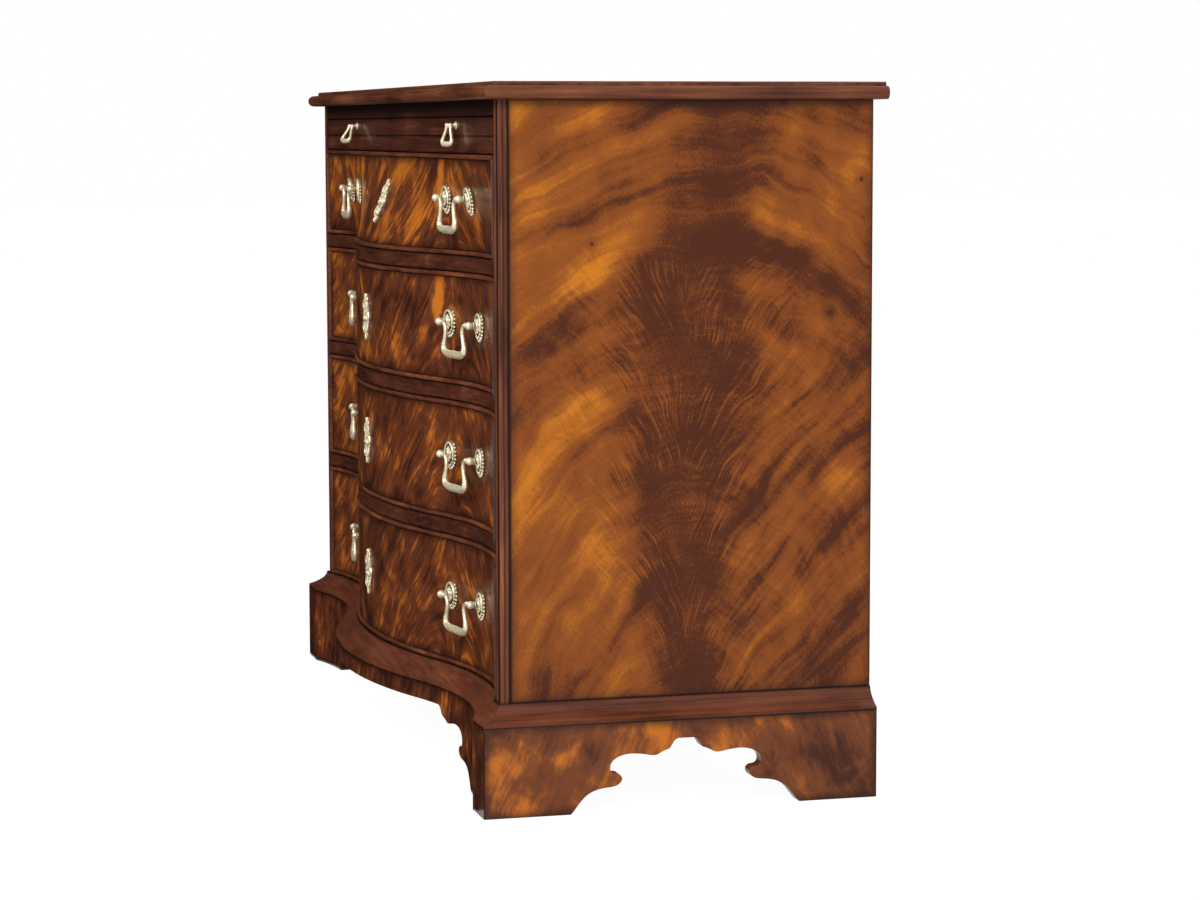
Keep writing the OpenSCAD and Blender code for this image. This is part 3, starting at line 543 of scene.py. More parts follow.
@dataclass(frozen=True, kw_only=True)
class StraightMahogany(Mahogany):
    """Straight-grained mahogany with painted shade along the lines where it meets its neighbours, in grooves
    and under overhangs.

    A mitre, as distances along and across, is where strips turn to run along the sides.
    """

    axis: Axis
    shade_lines: tuple[ShadeLine, ...] = ()
    shade_share: float = 0.9
    mitre: Point2 | None = None

    def build(self) -> bpy.types.Material:
        """Builds the material.

        Returns:
            The material.
        """
        s = Shade(self.name)
        place = s.place()
        along, a, b = self.axis.first(place)
        if self.mitre:
            out = abs(along) - self.mitre[0]
            turned = out.least(out + a - self.mitre[1]).step(-0.4, 0.4)
            along, a = along + (a - along) * turned, a + (along - a) * turned
        wander = s.noise((along / 260.0, a / 90.0, self.seed), 2.0) * 14.0
        coarse = ((a + wander) / 5.0, (b + wander) / 5.0, along / 180.0 + self.seed)
        grain = s.noise(coarse, 4.0, 0.6)
        fine = s.noise((a / 0.9, b / 0.9, along / 22.0 + self.seed), 2.0, 0.6)
        cloud = s.noise((along / 120.0, a / 40.0 + self.seed, b / 40.0), 2.0)
        tone = grain * 1.5 + cloud * 1.3 + fine * 0.45 + 0.5
        colour = self.stained(s, tone, (0.0, 0.6), (0.5, 1.1))
        # painted shade along gaps, grooves and joints, and a painted shadow under the top's overhang
        for shade_line in self.shade_lines:
            share = s.near(place[shade_line.axis.value], shade_line.places, shade_line.reach) * self.shade_share
            colour = s.blend(share, colour, shade_line.colour)
        self.polished(s, colour, 0.40 + fine * 0.2)
        return s.relief(fine * 0.6 + grain * 0.4, 0.05, 0.35)


@dataclass(frozen=True, kw_only=True)
class Crotch(Mahogany):
    """Crotch veneer: a dark plume with strokes that fan out of its axis, and golden arcs round it.

    Places and lengths are in millimetres; a knot is its place along the face and its height.
    """

    edges: Edges
    axis_at: float = 223.0
    lean: float = 58.0
    foot_half: float = 52.0
    head_half: float = 84.0
    head_taper: float = 30.0
    blur: float = 30.0
    squash: float = 1.5
    arc_low: float = 90.0
    spread: float = 24.0
    knot_r: float = 15.0
    pip_r: float = 3.8
    knots: tuple[Point2, ...] = ((111.0, 663.0), (402.0, 579.0), (440.0, 736.0), (63.0, 543.0))

    def build(self) -> bpy.types.Material:
        """Builds the material.

        Returns:
            The material.
        """
        s = Shade(self.name)
        place = s.place()
        u, z = place[1:]
        seed = self.seed
        low, high = self.edges.heights
        rise = (z - low) / (high - low)
        sway = s.noise((u / 130.0, z / 150.0, seed), 2.0) * 2.0
        heave = s.noise((u / 120.0, z / 110.0, seed + 7.0), 2.0) * 2.0
        jitter = s.noise((u / 36.0, z / 40.0, seed + 3.0)) * 2.0
        calm = u - self.axis_at - rise.step(0.66, 0.97) * self.lean + sway * 28.0
        offset = calm + jitter * 7.0
        away = abs(offset)
        up = z - low + heave * 34.0
        # the plume widens from its foot and tapers into the crown
        belly = self.foot_half + (self.head_half - self.foot_half) * rise.step(0.24, 0.5)
        belly = belly - rise.step(0.6, 0.86) * self.head_taper
        plume = (away + jitter * 30.0 + heave * 26.0 - belly).step(self.blur, -self.blur)
        crown = rise.step(0.68, 0.84)
        # arcs over the plume and down both of its sides
        ring = (away * self.squash).hypot(up + self.arc_low) + jitter * 6.0
        turn = offset * self.squash / (ring + 40.0)
        bands = s.noise((ring / 52.0, turn * 1.5, seed + 14.0), 3.0, 0.5, 0.5)
        fine = s.noise((ring / 8.5, turn * 2.4, seed + 15.0), 3.0, 0.6)
        ripple = s.noise((ring / 3.0, turn * 5.0, seed + 16.0), 2.0, 0.5)
        pores = s.noise((u / 1.5, z / 4.5, seed + 20.0), 2.0, 0.6)
        clouds = s.noise((u / 74.0, z / 100.0, seed + 30.0))
        # short strokes that leave the axis steeply and flatten as they go out
        out = abs(calm)
        across = z - low + heave * 14.0 - (out + 1.0).root() * self.spread
        run = out + up * 0.4
        streak = s.noise((across / 7.5, run / 52.0, seed + 9.0), 2.0, 0.5)
        hair = s.noise((across / 2.6, run / 30.0, seed + 11.0), 2.0, 0.6)
        feather = s.noise((across / 26.0, out / 120.0, seed + 50.0), 3.0, 0.5) * 0.8
        bands = bands + (feather - bands) * offset.step(5.0, 60.0) * rise.step(0.66, 0.5)
        where = s.noise((u / 60.0, z / 80.0, seed + 40.0), 2.0).step(-0.10, 0.08)
        strokes = streak.step(0.0, 0.22) * 0.5 - streak.step(-0.04, -0.20) * 0.4 + hair * 0.9
        strokes = strokes * (1.0 - crown * 0.85)
        beside = (away - belly * 1.9).step(60.0, -40.0)
        outer = 0.54 + bands * 2.6 + clouds * 1.7 + fine * 0.6 - offset / 900.0
        outer = outer + strokes * where * beside * 0.5 - rise.step(0.55, 0.0) * 0.14
        outer = outer + u.step(300.0, 430.0) * rise.step(0.45, 0.1) * 0.28
        inner = clouds * 1.1 + ripple * 0.42 + fine * 0.4 + strokes * (where * 0.85 + 0.15)
        inner = inner + bands * crown * 1.9 - rise.step(0.4, 0.0) * 0.08
        tone = outer + (inner - outer) * plume * 0.9 + pores * 0.8
        for at, height in self.knots:
            gap = (u - at).hypot(z - height) + jitter * 3.0
            tone = tone - gap.step(self.knot_r, 0.0) * 0.34 - gap.step(self.pip_r, 1.2) * 0.5
        colour = self.stained(s, tone, (-0.1, 0.62), (0.55, 1.45))
        self.polished(s, self.edges.darken(s, colour, place, jitter), 0.38 + pores * 0.18)
        return s.relief(pores * 0.6 + streak * 0.4, 0.035, 0.3)


@dataclass(frozen=True, kw_only=True)
class Flame(Mahogany):
    """Flame veneer: short upright strokes that fan out below an apex, over mottled patches.

    A glow is a bright beam's place along the face, its foot and its width; a slope is the stretch
    along the face over which the tone changes, and by how much. The core shows behind the veneer,
    on the vertices that a piece marks as tarnished.
    """

    edges: Edges
    across: Axis = Axis.X
    apex: float
    fan: float = 1.1
    lift: float = 0.0
    stroke: float = 1.0
    glow: Point3 | None = None
    slope: Point3 | None = None
    core: tuple[Colour, Colour] = ((0.060, 0.0170, 0.0085), (0.190, 0.0620, 0.0280))

    def build(self) -> bpy.types.Material:
        """Builds the material.

        Returns:
            The material.
        """
        s = Shade(self.name)
        place = s.place()
        u, z = place[self.across.value], place[2]
        seed = self.seed
        side = abs(u) if self.across is Axis.X else u
        down = self.edges.heights[1] - z
        jitter = s.noise((u / 40.0, z / 46.0, seed + 3.0)) * 2.0
        offset = side - self.apex + jitter * 10.0
        strand = offset - offset / (abs(offset) + 45.0) * down * self.fan
        streak = s.noise((strand / 6.0, z / 42.0 + jitter, seed + 9.0), 2.0, 0.5)
        hair = s.noise((strand / 2.2, z / 26.0, seed + 11.0), 2.0, 0.6)
        broad = s.noise((strand / 34.0, z / 90.0, seed + 13.0), 2.0, 0.5)
        mottle = s.noise((u / 42.0, z / 40.0, seed + 21.0), twist=0.5)
        cloud = s.noise((u / 100.0, z / 120.0, seed + 25.0), 2.0)
        pores = s.noise((strand / 0.9, z / 8.0, seed + 31.0), 1.0)
        tone = 0.46 + self.lift + (streak * 1.5 + hair) * self.stroke + broad * 1.3
        tone = tone + mottle * 1.7 + cloud * 1.3 + pores * 0.35
        if self.glow:
            at, foot, width = self.glow
            beam = abs(side - at + down * 0.12 + jitter * 2.0).step(width, 0.0)
            tone = tone + beam * z.step(foot, foot + 26.0) * 0.9
        if self.slope:
            start, end, change = self.slope
            tone = tone + u.step(start, end) * change
        colour = self.stained(s, tone, (-0.05, 0.65), (0.6, 1.3))
        colour = self.edges.darken(s, colour, (place[0], u, z), jitter)
        colour = s.blend(s.trait("tarnish"), colour, s.blend(hair + 0.5, *self.core))
        self.polished(s, colour, 0.36 + pores * 0.18)
        return s.relief(pores * 0.5 + streak * 0.5, 0.04, 0.3)


@dataclass(frozen=True)
class PaleWood:
    """Unpolished secondary timber."""

    name: str
    axis: Axis
    seed: float = 0.0
    dark: Colour = (0.22, 0.115, 0.048)
    light: Colour = (0.47, 0.30, 0.155)

    def build(self) -> bpy.types.Material:
        """Builds the material.

        Returns:
            The material.
        """
        s = Shade(self.name)
        along, a, b = self.axis.first(s.place())
        wander = s.noise((along / 300.0, a / 120.0, self.seed), 2.0) * 40.0
        coarse = ((a + wander) / 11.0, b / 11.0, along / 300.0 + self.seed)
        grain = s.noise(coarse, 4.0, 0.6)
        fine = s.noise((a / 0.9, b / 0.9, along / 30.0), 2.0, 0.6)
        tone = (grain * 1.6 + fine * 0.5 + 0.5).step(0.0, 1.0)
        colour = s.blend(tone, self.dark, self.light)
        s.set(Base_Color=colour, Roughness=0.72 + fine * 0.2, Specular_IOR_Level=0.25)
        return s.relief(fine, 0.08, 0.5)


@dataclass(frozen=True)
class Metal:
    """Cast metal that is dark in its recesses and rubbed bright on its heights."""

    name: str
    bright: Colour
    dull: Colour
    roughness: float
    patina: float = 1.0
    metallic: float = 1.0

    def build(self) -> bpy.types.Material:
        """Builds the material.

        Returns:
            The material.
        """
        s = Shade(self.name)
        mottle = s.noise([coord / 3.0 for coord in s.place()], 3.0, 0.6)
        point = s.node("NewGeometry", out="Pointiness")
        cavity = (point + mottle * (0.07 * self.patina)).step(0.50, 0.42)
        cavity = (cavity + s.trait("tarnish")).least(1.0)
        dirt = (cavity + mottle.step(0.12, 0.37) * (0.35 * self.patina)).least(1.0)
        s.set(Base_Color=s.blend(dirt, self.bright, self.dull), Metallic=self.metallic,
              Roughness=self.roughness + mottle * 0.25 + cavity * 0.2)
        return s.relief(mottle, 0.05, 0.4)


# Mesh helpers

class Piece:
    """A mesh under way, in millimetres in the chest's plan."""

    def __init__(self, name: str) -> None:
        """Starts an empty piece.

        Args:
            name: Name of the object that it becomes.
        """
        self.name = name
        self.bm = bmesh.new()
        self.tarnish = self.bm.verts.layers.float.new("tarnish")

    def sweep(self, section: Sequence[Point2], stops: Sequence, at: Callable[..., Vector]) -> Verts:
        """Draws a closed section through a row of stops by extruding its edges, and closes both ends.

        Args:
            section: Corners of the section.
            stops: What at() is called with, one after another.
            at: Gives the place of a section's corner at a stop.

        Returns:
            The vertices of the sweep.
        """
        bm = self.bm
        count = len(section)
        ring = [bm.verts.new(at(p, stops[0])) for p in section]
        edges = [bm.edges.new((ring[i], ring[(i + 1) % count])) for i in range(count)]
        made = list(ring)
        bm.faces.new(ring)
        for stop in stops[1:]:
            grown = bmesh.ops.extrude_edge_only(bm, edges=edges)["geom"]
            fresh = {v for v in grown if isinstance(v, bmesh.types.BMVert)}
            ring = [next(e.other_vert(v) for e in v.link_edges if e.other_vert(v) in fresh) for v in ring]
            for vert, p in zip(ring, section):
                vert.co = at(p, stop)
            edges = [bm.edges.get((ring[i], ring[(i + 1) % count])) for i in range(count)]
            made += ring
        bm.faces.new(ring)
        return made

    def tube(self, path: Sequence[Vector], radius: Callable[[float, float], float], sides: int) -> None:
        """Draws a rod along a path that lies upright, square to Y.

        Args:
            path: Points of the rod's middle line.
            radius: Radius by the share of the length and the angle round the rod.
            sides: Number of sides.
        """
        last = len(path) - 1
        square = Vector((0, 1, 0))

        def at(p: Point2, i: int) -> Vector:
            """Place at an angle round a point of the path."""
            out = (path[min(i + 1, last)] - path[max(i - 1, 0)]).cross(square).normalized()
            return path[i] + (out * math.cos(p[0]) + square * math.sin(p[0])) * radius(i / last, p[0])

        self.sweep([(math.tau * i / sides, 0.0) for i in range(sides)], range(last + 1), at)

    def lathe(self, profile: Sequence[Point2], steps: int) -> Verts:
        """Turns a profile round the Y axis, with -Y outwards.

        Args:
            profile: Points as radius and distance out.
            steps: Number of steps round.

        Returns:
            The vertices of the turned form.
        """
        bm = self.bm
        verts = [bm.verts.new((r, -d, 0.0)) for r, d in profile]
        edges = [bm.edges.new(pair) for pair in zip(verts, verts[1:])]
        before = set(bm.verts) - set(verts)
        bmesh.ops.spin(bm, geom=verts + edges, cent=(0, 0, 0), axis=(0, 1, 0), angle=math.tau, steps=steps,
                       use_merge=True, use_duplicate=False)
        made = [v for v in bm.verts if v not in before]
        bmesh.ops.remove_doubles(bm, verts=made, dist=0.0001)
        return [v for v in bm.verts if v not in before]

    def plate(self, corners: Sequence[Point3]) -> Verts:
        """Draws a flat face and doubles it, to be moved away as the other side of a plate.

        Args:
            corners: Corners of the face.

        Returns:
            The vertices of the double.
        """
        face = self.bm.faces.new([self.bm.verts.new(corner) for corner in corners])
        grown = bmesh.ops.extrude_face_region(self.bm, geom=[face])["geom"]
        return [v for v in grown if isinstance(v, bmesh.types.BMVert)]

    def ball(self, centre: Sequence[float], radius: float, scale: Point3, detail: int = 2,
             turn: float = 0.0) -> None:
        """Adds a small ball or bead, turned in the plane of its plate."""
        matrix = Matrix.Translation(centre) @ Matrix.Rotation(turn, 4, "Y") @ Matrix.Diagonal((*scale, 1.0))
        bmesh.ops.create_icosphere(self.bm, subdivisions=detail, radius=radius, matrix=matrix)

    def disc(self, radius: float, depth: float, sides: int, centre: Point3 = (0.0, 0.0, 0.0)) -> None:
        """Adds a cylinder along Y."""
        matrix = Matrix.Translation(centre) @ Matrix.Rotation(math.pi / 2, 4, "X")
        bmesh.ops.create_cone(self.bm, cap_ends=True, segments=sides, radius1=radius, radius2=radius,
                              depth=depth, matrix=matrix)

    def add(self, other: "Piece", matrix: Matrix) -> None:
        """Adds a moved copy of another piece.

        Args:
            other: The piece to copy.
            matrix: Where the copy goes.
        """
        mesh = bpy.data.meshes.new("part")
        other.bm.to_mesh(mesh)
        before = len(self.bm.verts)
        self.bm.from_mesh(mesh)
        self.bm.verts.ensure_lookup_table()
        bmesh.ops.transform(self.bm, matrix=matrix, verts=self.bm.verts[before:])
        bpy.data.meshes.remove(mesh)

    def finish(self, material: bpy.types.Material, body: str, slot: Slot, nodes: Sequence[str] = (),
               crease: float = 40.0, bevel: float = 0.0) -> None:
        """Turns the piece into an object of the scene.

        Args:
            material: What it is made of.
            body: The body that it moves with.
            slot: The record's material slot; not used.
            nodes: Nodes that it stands for.
            crease: Angle between faces from which an edge looks sharp, in degrees.
            bevel: Width of the rounding of its sharp edges, in millimetres.
        """
        bm = self.bm
        bmesh.ops.remove_doubles(bm, verts=bm.verts, dist=0.0002)
        bmesh.ops.recalc_face_normals(bm, faces=bm.faces)
        for face in bm.faces:
            face.smooth = True
        for edge in bm.edges:
            edge.smooth = not edge.is_manifold or edge.calc_face_angle(0.0) < math.radians(crease)
        matrix = Matrix.Scale(MM, 4) @ Matrix.Translation((0, CHEST.shift_y, 0))
        bmesh.ops.transform(bm, matrix=matrix, verts=bm.verts)
        obj = placed(self.name, bm, material)
        if bevel > 0:
            mod = obj.modifiers.new("soft edges", "BEVEL")
            mod.width = bevel * MM
            mod.segments = 2
            mod.limit_method = "ANGLE"
            mod.angle_limit = math.radians(40)
            mod.use_clamp_overlap = True
        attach(obj, body)
        if nodes:
            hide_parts(*nodes)
        log.info("%s: %d faces", self.name, len(obj.data.polygons))


def placed(name: str, bm: bmesh.types.BMesh, material: bpy.types.Material) -> bpy.types.Object:
    """Puts a mesh into the scene.

    Args:
        name: Name of the mesh and its object.
        bm: The mesh, which is freed.
        material: What it is made of.

    Returns:
        The object.
    """
    mesh = bpy.data.meshes.new(name)
    bm.to_mesh(mesh)
    bm.free()
    mesh.materials.append(material)
    obj = bpy.data.objects.new(name, mesh)
    bpy.context.scene.collection.objects.link(obj)
    return obj


def spline(points: Sequence[Point2], per: int) -> list[Point2]:
    """Smooth open line through points.

    Args:
        points: Points that the line meets.
        per: Steps between two neighbours.

    Returns:
        Points of the line.
    """
    out: list[Point2] = []
    last = len(points) - 1
    for i in range(last):
        four = (points[max(i - 1, 0)], points[i], points[i + 1], points[min(i + 2, last)])
        for t in (k / per for k in range(per)):
            out.append(tuple(
                0.5 * (2 * q + (r - p) * t + (2 * p - 5 * q + 4 * r - w) * t * t
                       + (3 * q - p - 3 * r + w) * t ** 3)
                for p, q, r, w in zip(*four)
            ))
    return out + [points[last]]


def loop_path(shape: Sequence[Point2], half: float, drop: float, per: int) -> list[Vector]:
    """Middle line of a bail or ring that is the same left and right.

    Args:
        shape: Its right half from the pin down, in shares of half the width and of the drop.
        half: Half the distance between its pins.
        drop: How far it hangs down.
        per: Steps between two points of the shape.

    Returns:
        Points of the line from the right pin to the left one.
    """
    one = spline([(a * half, b * drop) for a, b in shape], per)
    return [Vector((x, 0.0, z)) for x, z in one + [(-x, z) for x, z in reversed(one[:-1])]]


def stations(half: float, count: int = 128) -> list[float]:
    """Even places from -half to half."""
    return [half * (2 * i / count - 1) for i in range(count + 1)]


def parted(half: float, middle: float) -> list[list[float]]:
    """Places from -half to half, parted round a middle stretch.

    Args:
        half: Half the whole length.
        middle: Half the length of the middle stretch.

    Returns:
        Three rows: left of the middle, across it and right of it.
    """
    left = [x for x in stations(half) if x < -middle] + [-middle]
    return [left, [0.02 - middle, 0.0, middle - 0.02], [-x for x in reversed(left)]]


def arc(cx: float, cy: float, r: float, start: float, end: float, count: int) -> list[Point2]:
    """Points on a circle between two angles in degrees."""
    angles = [math.radians(start + (end - start) * i / count) for i in range(count + 1)]
    return [(cx + r * math.cos(a), cy + r * math.sin(a)) for a in angles]


# Finishes

class Finishes:
    """All materials of the chest, each built once."""

    def __init__(self) -> None:
        """Builds the woods and metals."""
        self.pale_x = PaleWood("oak across", Axis.X).build()
        self.pale_y = PaleWood("oak deep", Axis.Y, 4.0).build()
        self.pale_z = PaleWood("oak upright", Axis.Z, 8.0).build()
        self.brass = Metal("antique brass", (0.82, 0.73, 0.50), (0.10, 0.075, 0.034), 0.30,
                           metallic=0.45).build()
        self.iron = Metal("lock steel", (0.36, 0.35, 0.33), (0.09, 0.08, 0.07), 0.45, patina=0.5).build()
        self.veneers()
        self.lengths()

    def veneers(self) -> None:
        """Builds the figured veneers."""
        c = CHEST
        # side panels: a darker band along the edges, and a line of painted shade round them where they meet
        # the next parts
        edges = Edges((c.post_d, c.carcase_d), (c.foot_h + c.moulding_h, c.top_z), c.half_w,
                      dark_band_past=-2.0, dark_band_wobble=3.0, dark_band_share=0.55, dark_band=(0.035, 0.0105, 0.0065),
                      line_w=3.0, line_share=0.8)
        tones = ((0.069, 0.0155, 0.0045), (0.236, 0.0620, 0.0090), (0.540, 0.1700, 0.0120))
        self.side = Crotch(name="flame side", tones=tones, seed=3.0, edges=edges).build()
        tones = ((0.036, 0.0105, 0.0062), (0.128, 0.0330, 0.0115), (0.520, 0.1480, 0.0150))
        fronts = (
            dict(apex=296.0, seed=41.0, lift=0.30, glow=(263.0, 690.0, 24.0), slope=(350.0, 430.0, -0.26)),
            dict(apex=296.0, seed=52.0, lift=0.04, glow=(263.0, 545.0, 18.0), slope=(-260.0, -430.0, 0.34)),
            dict(apex=292.0, seed=67.0, lift=0.08, slope=(-260.0, -430.0, 0.24)),
            dict(apex=288.0, seed=73.0, lift=0.06, slope=(-260.0, -430.0, 0.14)),
        )
        end = c.drawer_half - c.cock_w
        self.drawers = {
            n: Flame(name=f"flame drawer {n}", tones=tones, **front, edges=Edges(
                (-end, end), (c.front_z(n) + c.cock_w, c.front_top(n) - c.cock_w))).build()
            for n, front in zip(DRAWERS, fronts)
        }
        edges = Edges((-c.base_half, c.base_half), (0.0, c.foot_h), dark_band_w=14.0)
        self.apron = Flame(name="flame apron", tones=tones, seed=80.0, edges=edges, apex=420.0, fan=0.3,
                           lift=-0.12).build()
        edges = Edges((-c.base_front_over, c.carcase_d), (0.0, c.foot_h), c.base_half, dark_band_w=14.0)
        tones = ((0.055, 0.0150, 0.0075), (0.165, 0.0480, 0.0160), tones[2])
        self.side_apron = Flame(name="flame side apron", tones=tones, seed=91.0, edges=edges, across=Axis.Y,
                                apex=210.0, fan=0.5, lift=0.30, stroke=0.45,
                                slope=(230.0, 400.0, -0.34)).build()

    def lengths(self) -> None:
        """Builds the straight-grained mahogany."""
        c = CHEST
        rails = tuple(z for n in DRAWERS for z in (c.open_z(n), c.open_z(n) + c.open_h(n)))
        # painted shade along the rails' edges at the drawer and slide gaps, and where the top rail meets the
        # top
        shaded_lines = rails + (c.slide_z, c.top_rail_z, c.top_z)
        self.across = StraightMahogany(
            name="mahogany across", axis=Axis.X,
            tones=((0.026, 0.0070, 0.0040), (0.074, 0.0200, 0.0105), (0.170, 0.0500, 0.0225)),
            # painted shade along those lines, and a painted shadow under the top's overhang
            shade_lines=(ShadeLine(Axis.Z, shaded_lines, 2.6), ShadeLine(Axis.Z, (c.top_z - 5.0,), 25.0))).build()
        ends = (-c.drawer_half, c.drawer_half)
        self.beading = StraightMahogany(
            name="mahogany beading", axis=Axis.X, seed=33.0,
            tones=((0.045, 0.0120, 0.0065), (0.130, 0.0360, 0.0165), (0.260, 0.0800, 0.0300)),
            # painted shade where the beads meet the gaps, and a dark grey painted reflection on the upright
            # beads' outer sides
            shade_lines=(ShadeLine(Axis.Z, rails, 1.6), ShadeLine(Axis.X, ends, 1.6, (0.034, 0.031, 0.033)))).build()
        bead = 2 * Posts.bead_r
        lines = tuple(c.half_w - side for side in (bead + 0.3, bead + Posts.quirk_front - 0.3))
        self.upright = StraightMahogany(
            name="mahogany upright", axis=Axis.Z, seed=5.0,
            tones=((0.045, 0.0130, 0.0070), (0.130, 0.0390, 0.0185), (0.300, 0.1050, 0.0360)),
            # painted shade at the edges of the drawer openings, in the grooves beside the bead and at the
            # joint with the side panel
            shade_lines=(ShadeLine(Axis.X, (-c.open_half, c.open_half), 2.2),
                   *(ShadeLine(Axis.X, (-line, line), 1.9) for line in lines),
                   ShadeLine(Axis.Y, (bead, bead + Posts.quirk_side + 0.2), 1.9),
                   ShadeLine(Axis.Y, (c.post_d,), 2.0))).build()
        self.moulding = StraightMahogany(
            name="mahogany moulding", axis=Axis.X, seed=14.0, mitre=(c.half_w - 1.0, -1.0),
            tones=((0.055, 0.0150, 0.0085), (0.130, 0.0370, 0.0175), (0.220, 0.0690, 0.0320)),
            # painted shade in the joints along the moulding's top and bottom
            shade_lines=(ShadeLine(Axis.Z, (c.foot_h, c.foot_h + c.moulding_h), 2.0),)).build()
        self.top = StraightMahogany(
            name="mahogany top", axis=Axis.X, seed=21.0,
            tones=((0.050, 0.0140, 0.0075), (0.135, 0.0390, 0.0180), (0.250, 0.0850, 0.0370)),
            mitre=(c.half_w + c.top_side_over - Top.step_in, Top.step_in - c.top_front_over)).build()


@dataclass
class Assembly:
    """A sub-assembly, with the finishes that it takes."""

    finishes: Finishes


# Carcase and base

@dataclass
class Top(Assembly):
    """Top board with a half-round nose under a step."""

    nose_h: float = 15.6
    under_in: float = 12.0
    step_in: float = 13.0
    edge_r: float = 2.2

    def build(self) -> None:
        """Builds the top."""
        c = CHEST
        nose_r, edge_r, inner = self.nose_h / 2, self.edge_r, -self.step_in
        side, back = c.half_w + c.top_side_over, c.carcase_d + c.top_back_over
        levels = [(-self.under_in, 0.0)] + arc(-nose_r, nose_r, nose_r, -90, 90, 20)
        levels += [(inner, self.nose_h), (inner, c.top_t - edge_r)]
        levels += arc(inner - edge_r, c.top_t - edge_r, edge_r, 0, 90, 5)

        def at(corner: Point2, level: Point2) -> Vector:
            """Place of a corner at a level's overhang and height."""
            y = -c.top_front_over - level[0] if corner[1] < 0 else back
            return Vector((corner[0] * (side + level[0]), y, c.top_z + level[1]))

        piece = Piece("top")
        piece.sweep([(-1, -1), (1, -1), (1, 1), (-1, 1)], levels, at)
        piece.finish(self.finishes.top, "carcase", Slot.STRAIGHT, ["top_board"], bevel=0.5)


@dataclass
class Posts(Assembly):
    """Corner posts with a round bead between two grooves."""

    bead_r: float = 2.8
    quirk_front: float = 6.5
    quirk_side: float = 5.8
    quirk_deep: float = 3.0

    def outline(self) -> list[Point2]:
        """Plan of the right post.

        Returns:
            Its corners.
        """
        c = CHEST
        w, r, deep = c.half_w, self.bead_r, self.quirk_deep
        front, side = w - 2 * r - self.quirk_front, 2 * r + self.quirk_side
        points = [(c.open_half, 0.0), (front - 0.8, 0.0), (front, 0.5), (front + 0.3, deep)]
        points += [(w - 2 * r, deep)] + arc(w - r, r, r, 180, 360, 20)
        points += [(w, 2 * r), (w - deep, 2 * r), (w - deep, side), (w - 0.3, side), (w, side + 0.4)]
        return points + [(w, c.post_d), (c.open_half, c.post_d)]

    def build(self) -> None:
        """Builds both posts."""
        piece = Piece("corner_posts_dressed")
        ends = (CHEST.foot_h, CHEST.top_z)
        for side in (1, -1):
            piece.sweep(self.outline(), ends, lambda p, z: Vector((side * p[0], p[1], z)))
        piece.finish(self.finishes.upright, "carcase", Slot.STRAIGHT, ["corner_posts"], crease=35)


@dataclass
class Rails(Assembly):
    """Serpentine rails between the drawers, each with room for the bolt of the drawer below it."""

    back: float = 95.0
    round_r: float = 0.8
    bolt_front: float = 14.6
    bolt_back: float = 21.2
    bolt_high: float = 6.8
    bolt_half: float = 10.6

    def build(self) -> None:
        """Builds the three rails, each as a lip before the bolt and a rear part."""
        c = CHEST
        r, t, start, high = self.round_r, c.rail_t, self.bolt_front + 0.02, self.bolt_high
        lip = [(self.bolt_front, 0.0)] + arc(r, r, r, 270, 180, 3) + arc(r, t - r, r, 180, 90, 3)
        lip.append((self.bolt_front, t))
        solid = [(self.back, 0.0), (start, 0.0), (start, t), (self.back, t)]
        room = [(self.back, 0.0), (self.bolt_back, 0.0), (self.bolt_back, high), (start, high)] + solid[2:]
        piece = Piece("serpentine_rails")
        for z in (c.open_z(n) - t for n in DRAWERS[:-1]):

            def at(p: Point2, x: float) -> Vector:
                """Place of a corner at x: the rear edge is straight."""
                return Vector((x, self.back if p[0] == self.back else c.front_y(x) + p[0], z + p[1]))

            piece.sweep(lip, stations(c.open_half), at)
            for section, row in zip((solid, room, solid), parted(c.open_half, self.bolt_half)):
                piece.sweep(section, row, at)
        piece.finish(self.finishes.across, "carcase", Slot.STRAIGHT, ["drawer_rails"])


